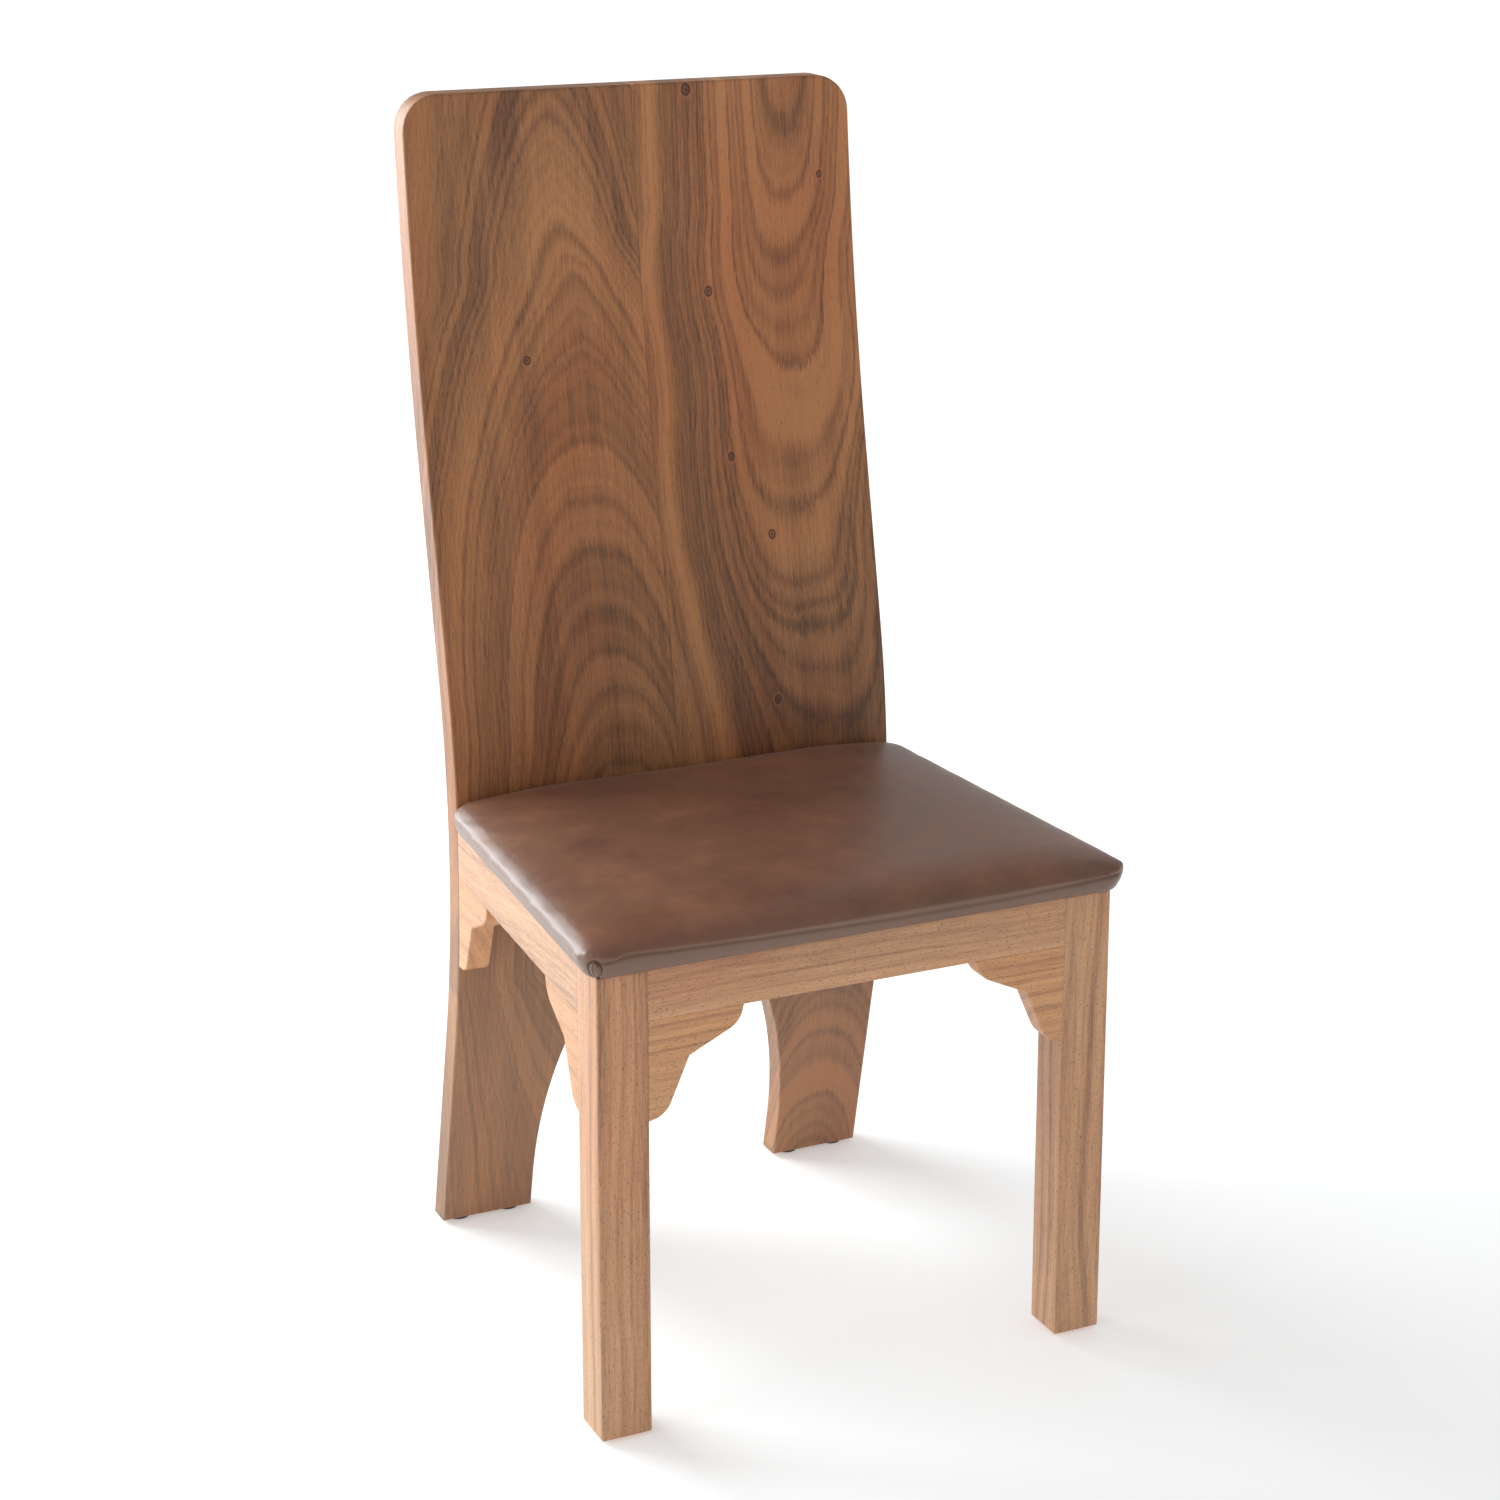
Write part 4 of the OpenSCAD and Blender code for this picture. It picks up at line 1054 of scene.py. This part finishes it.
clothSkin = grainy("black dust cloth", (16, 16, 17), (38, 38, 40), 1300.0, roughness=0.9, bump=0.4,
                   bumpDepth=0.0003)
dustCover().data.materials.append(clothSkin)
print("dust cloth made")


# Pieces that keep their CAD shape: hardware and hidden woodwork.
def dress(material, *names):
    # gives the nodes a material in place of their plain one
    for name in names:
        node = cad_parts[name]
        node.data.materials.clear()
        node.data.materials.append(material)


plyLook = dict(pale=(206, 176, 128), brown=(170, 130, 86), grain=(150, 112, 74), grainShare=0.4, ply=0.0024,
               stretch=(20.0, 400.0, 400.0), roughness=0.7)


def plywood():
    # pale face veneer, and plies that change shade with height at the edges: the height goes up
    # and down a ramp of one ply's thickness
    material, tree, shader = newMaterial("plywood")
    place = objectPlace(tree)
    height = put(tree, "SeparateXYZ", place).node.outputs[2]
    plies = calc(tree, "PINGPONG", calc(tree, "SUBTRACT", height, foamLow.z), plyLook["ply"])
    layer = ramp(tree, calc(tree, "DIVIDE", plies, plyLook["ply"]),
                 [(0.0, colour(*plyLook["pale"])), (0.6, colour(*plyLook["brown"]))])
    drawn = put(tree, "VectorMath", place, plyLook["stretch"], operation="MULTIPLY")
    grain = noise(tree, drawn, 1.0, 3.0, 0.6)
    share = remap(tree, grain, 0.3, 0.7, 0.0, plyLook["grainShare"])
    tree.links.new(mixColour(tree, share, layer, colour(*plyLook["grain"])), shader.inputs["Base Color"])
    shader.inputs["Roughness"].default_value = plyLook["roughness"]
    return material


hiddenLook = dict(woodLook, light=(186, 136, 98), middle=(160, 114, 82), dark=(120, 86, 64), roughness=0.6)
dowelLook = dict(woodLook, light=(224, 190, 142), middle=(206, 170, 122), dark=(180, 140, 98), roughness=0.6)
dress(stickWood("oiled wood rear rail", "x", (0.05, 0.26), hiddenLook), "rear_rail")
dress(stickWood("oiled wood corner blocks", "x", (-0.05, 0.20), hiddenLook),
      "corner_block_front_left", "corner_block_front_right",
      "corner_block_rear_left", "corner_block_rear_right")
dress(stickWood("beech dowel", "x", (0.02, 0.30), dowelLook), "back_joint_dowels", "front_rail_dowels")
dress(stickWood("beech dowel side", "y", (0.30, 0.02), dowelLook), "side_rail_dowels", "bracket_dowels")
dress(grainy("zinc plated steel", (150, 150, 152), (196, 196, 198), 520.0, 3.0, 0.6, 0.32, metallic=True),
      "rear_rail_screws", "corner_block_screws", "seat_screws")
dress(grainy("galvanised wire", (128, 130, 134), (176, 178, 182), 520.0, 3.0, 0.6, 0.42, metallic=True),
      "cover_staples", "dust_cover_staples")
dress(plywood(), "seat_board")
dress(grainy("glide plastic", (58, 48, 42), (78, 66, 58), 700.0, 2.0, 0.5, roughness=0.5, bump=0.15,
             bumpDepth=0.0002), "foot_glides")
print("hardware dressed")

# Floor and light: a pale floor without a visible end, and two cool lamps behind the left side.
studio = dict(floor=160.0, base=0.88, roughness=0.8, specular=0.1,
              nearGlow=0.34, farGlow=0.62, glowAt=(0.7, 4.5),
              world=0.52, lampColour=(0.90, 0.975, 1.0),
              lamps=dict(left=dict(power=20.0, size=2.2, place=(-2.7, 0.1, 1.5), aim=(0.0, 0.0, 0.5)),
                         rear=dict(power=150.0, size=2.6, place=(-1.9, 2.7, 1.6), aim=(0.0, 0.0, 0.4))))
white = (1, 1, 1, 1)


def makeFloor():
    # the lamps light the floor by the chair, and its own glow rises with the distance away, from
    # nearGlow to farGlow by smooth steps
    material, tree, shader = newMaterial("pale floor")
    shader.inputs["Base Color"].default_value = (studio["base"],) * 3 + (1,)
    shader.inputs["Roughness"].default_value = studio["roughness"]
    shader.inputs["Specular IOR Level"].default_value = studio["specular"]
    shader.inputs["Emission Color"].default_value = white
    away = put(tree, "VectorMath", objectPlace(tree), operation="LENGTH", out=1)
    tree.links.new(remap(tree, away, *studio["glowAt"], studio["nearGlow"], studio["farGlow"], smooth=True),
                   shader.inputs["Emission Strength"])
    half = studio["floor"] / 2
    mesh = bpy.data.meshes.new("floor")
    points = [(-half, -half, 0), (half, -half, 0), (half, half, 0), (-half, half, 0)]
    mesh.from_pydata(points, [], [(0, 1, 2, 3)])
    mesh.materials.append(material)
    floor = bpy.data.objects.new("floor", mesh)
    bpy.context.scene.collection.objects.link(floor)


def makeLight():
    # an even white surround, and square lamps turned from their place towards their aim
    world = bpy.data.worlds.new("studio white")
    world.use_nodes = True
    surround = world.node_tree.nodes["Background"]
    surround.inputs[0].default_value = white
    surround.inputs[1].default_value = studio["world"]
    bpy.context.scene.world = world
    for name, lamp in studio["lamps"].items():
        light = bpy.data.lights.new(name, "AREA")
        light.energy, light.size, light.color = lamp["power"], lamp["size"], studio["lampColour"]
        holder = bpy.data.objects.new(name, light)
        holder.location = lamp["place"]
        way = Vector(lamp["aim"]) - Vector(lamp["place"])
        holder.rotation_euler = way.to_track_quat("-Z", "Y").to_euler()
        bpy.context.scene.collection.objects.link(holder)
    bpy.context.scene.view_settings.view_transform = "Standard"


makeFloor()
makeLight()
print("studio set")
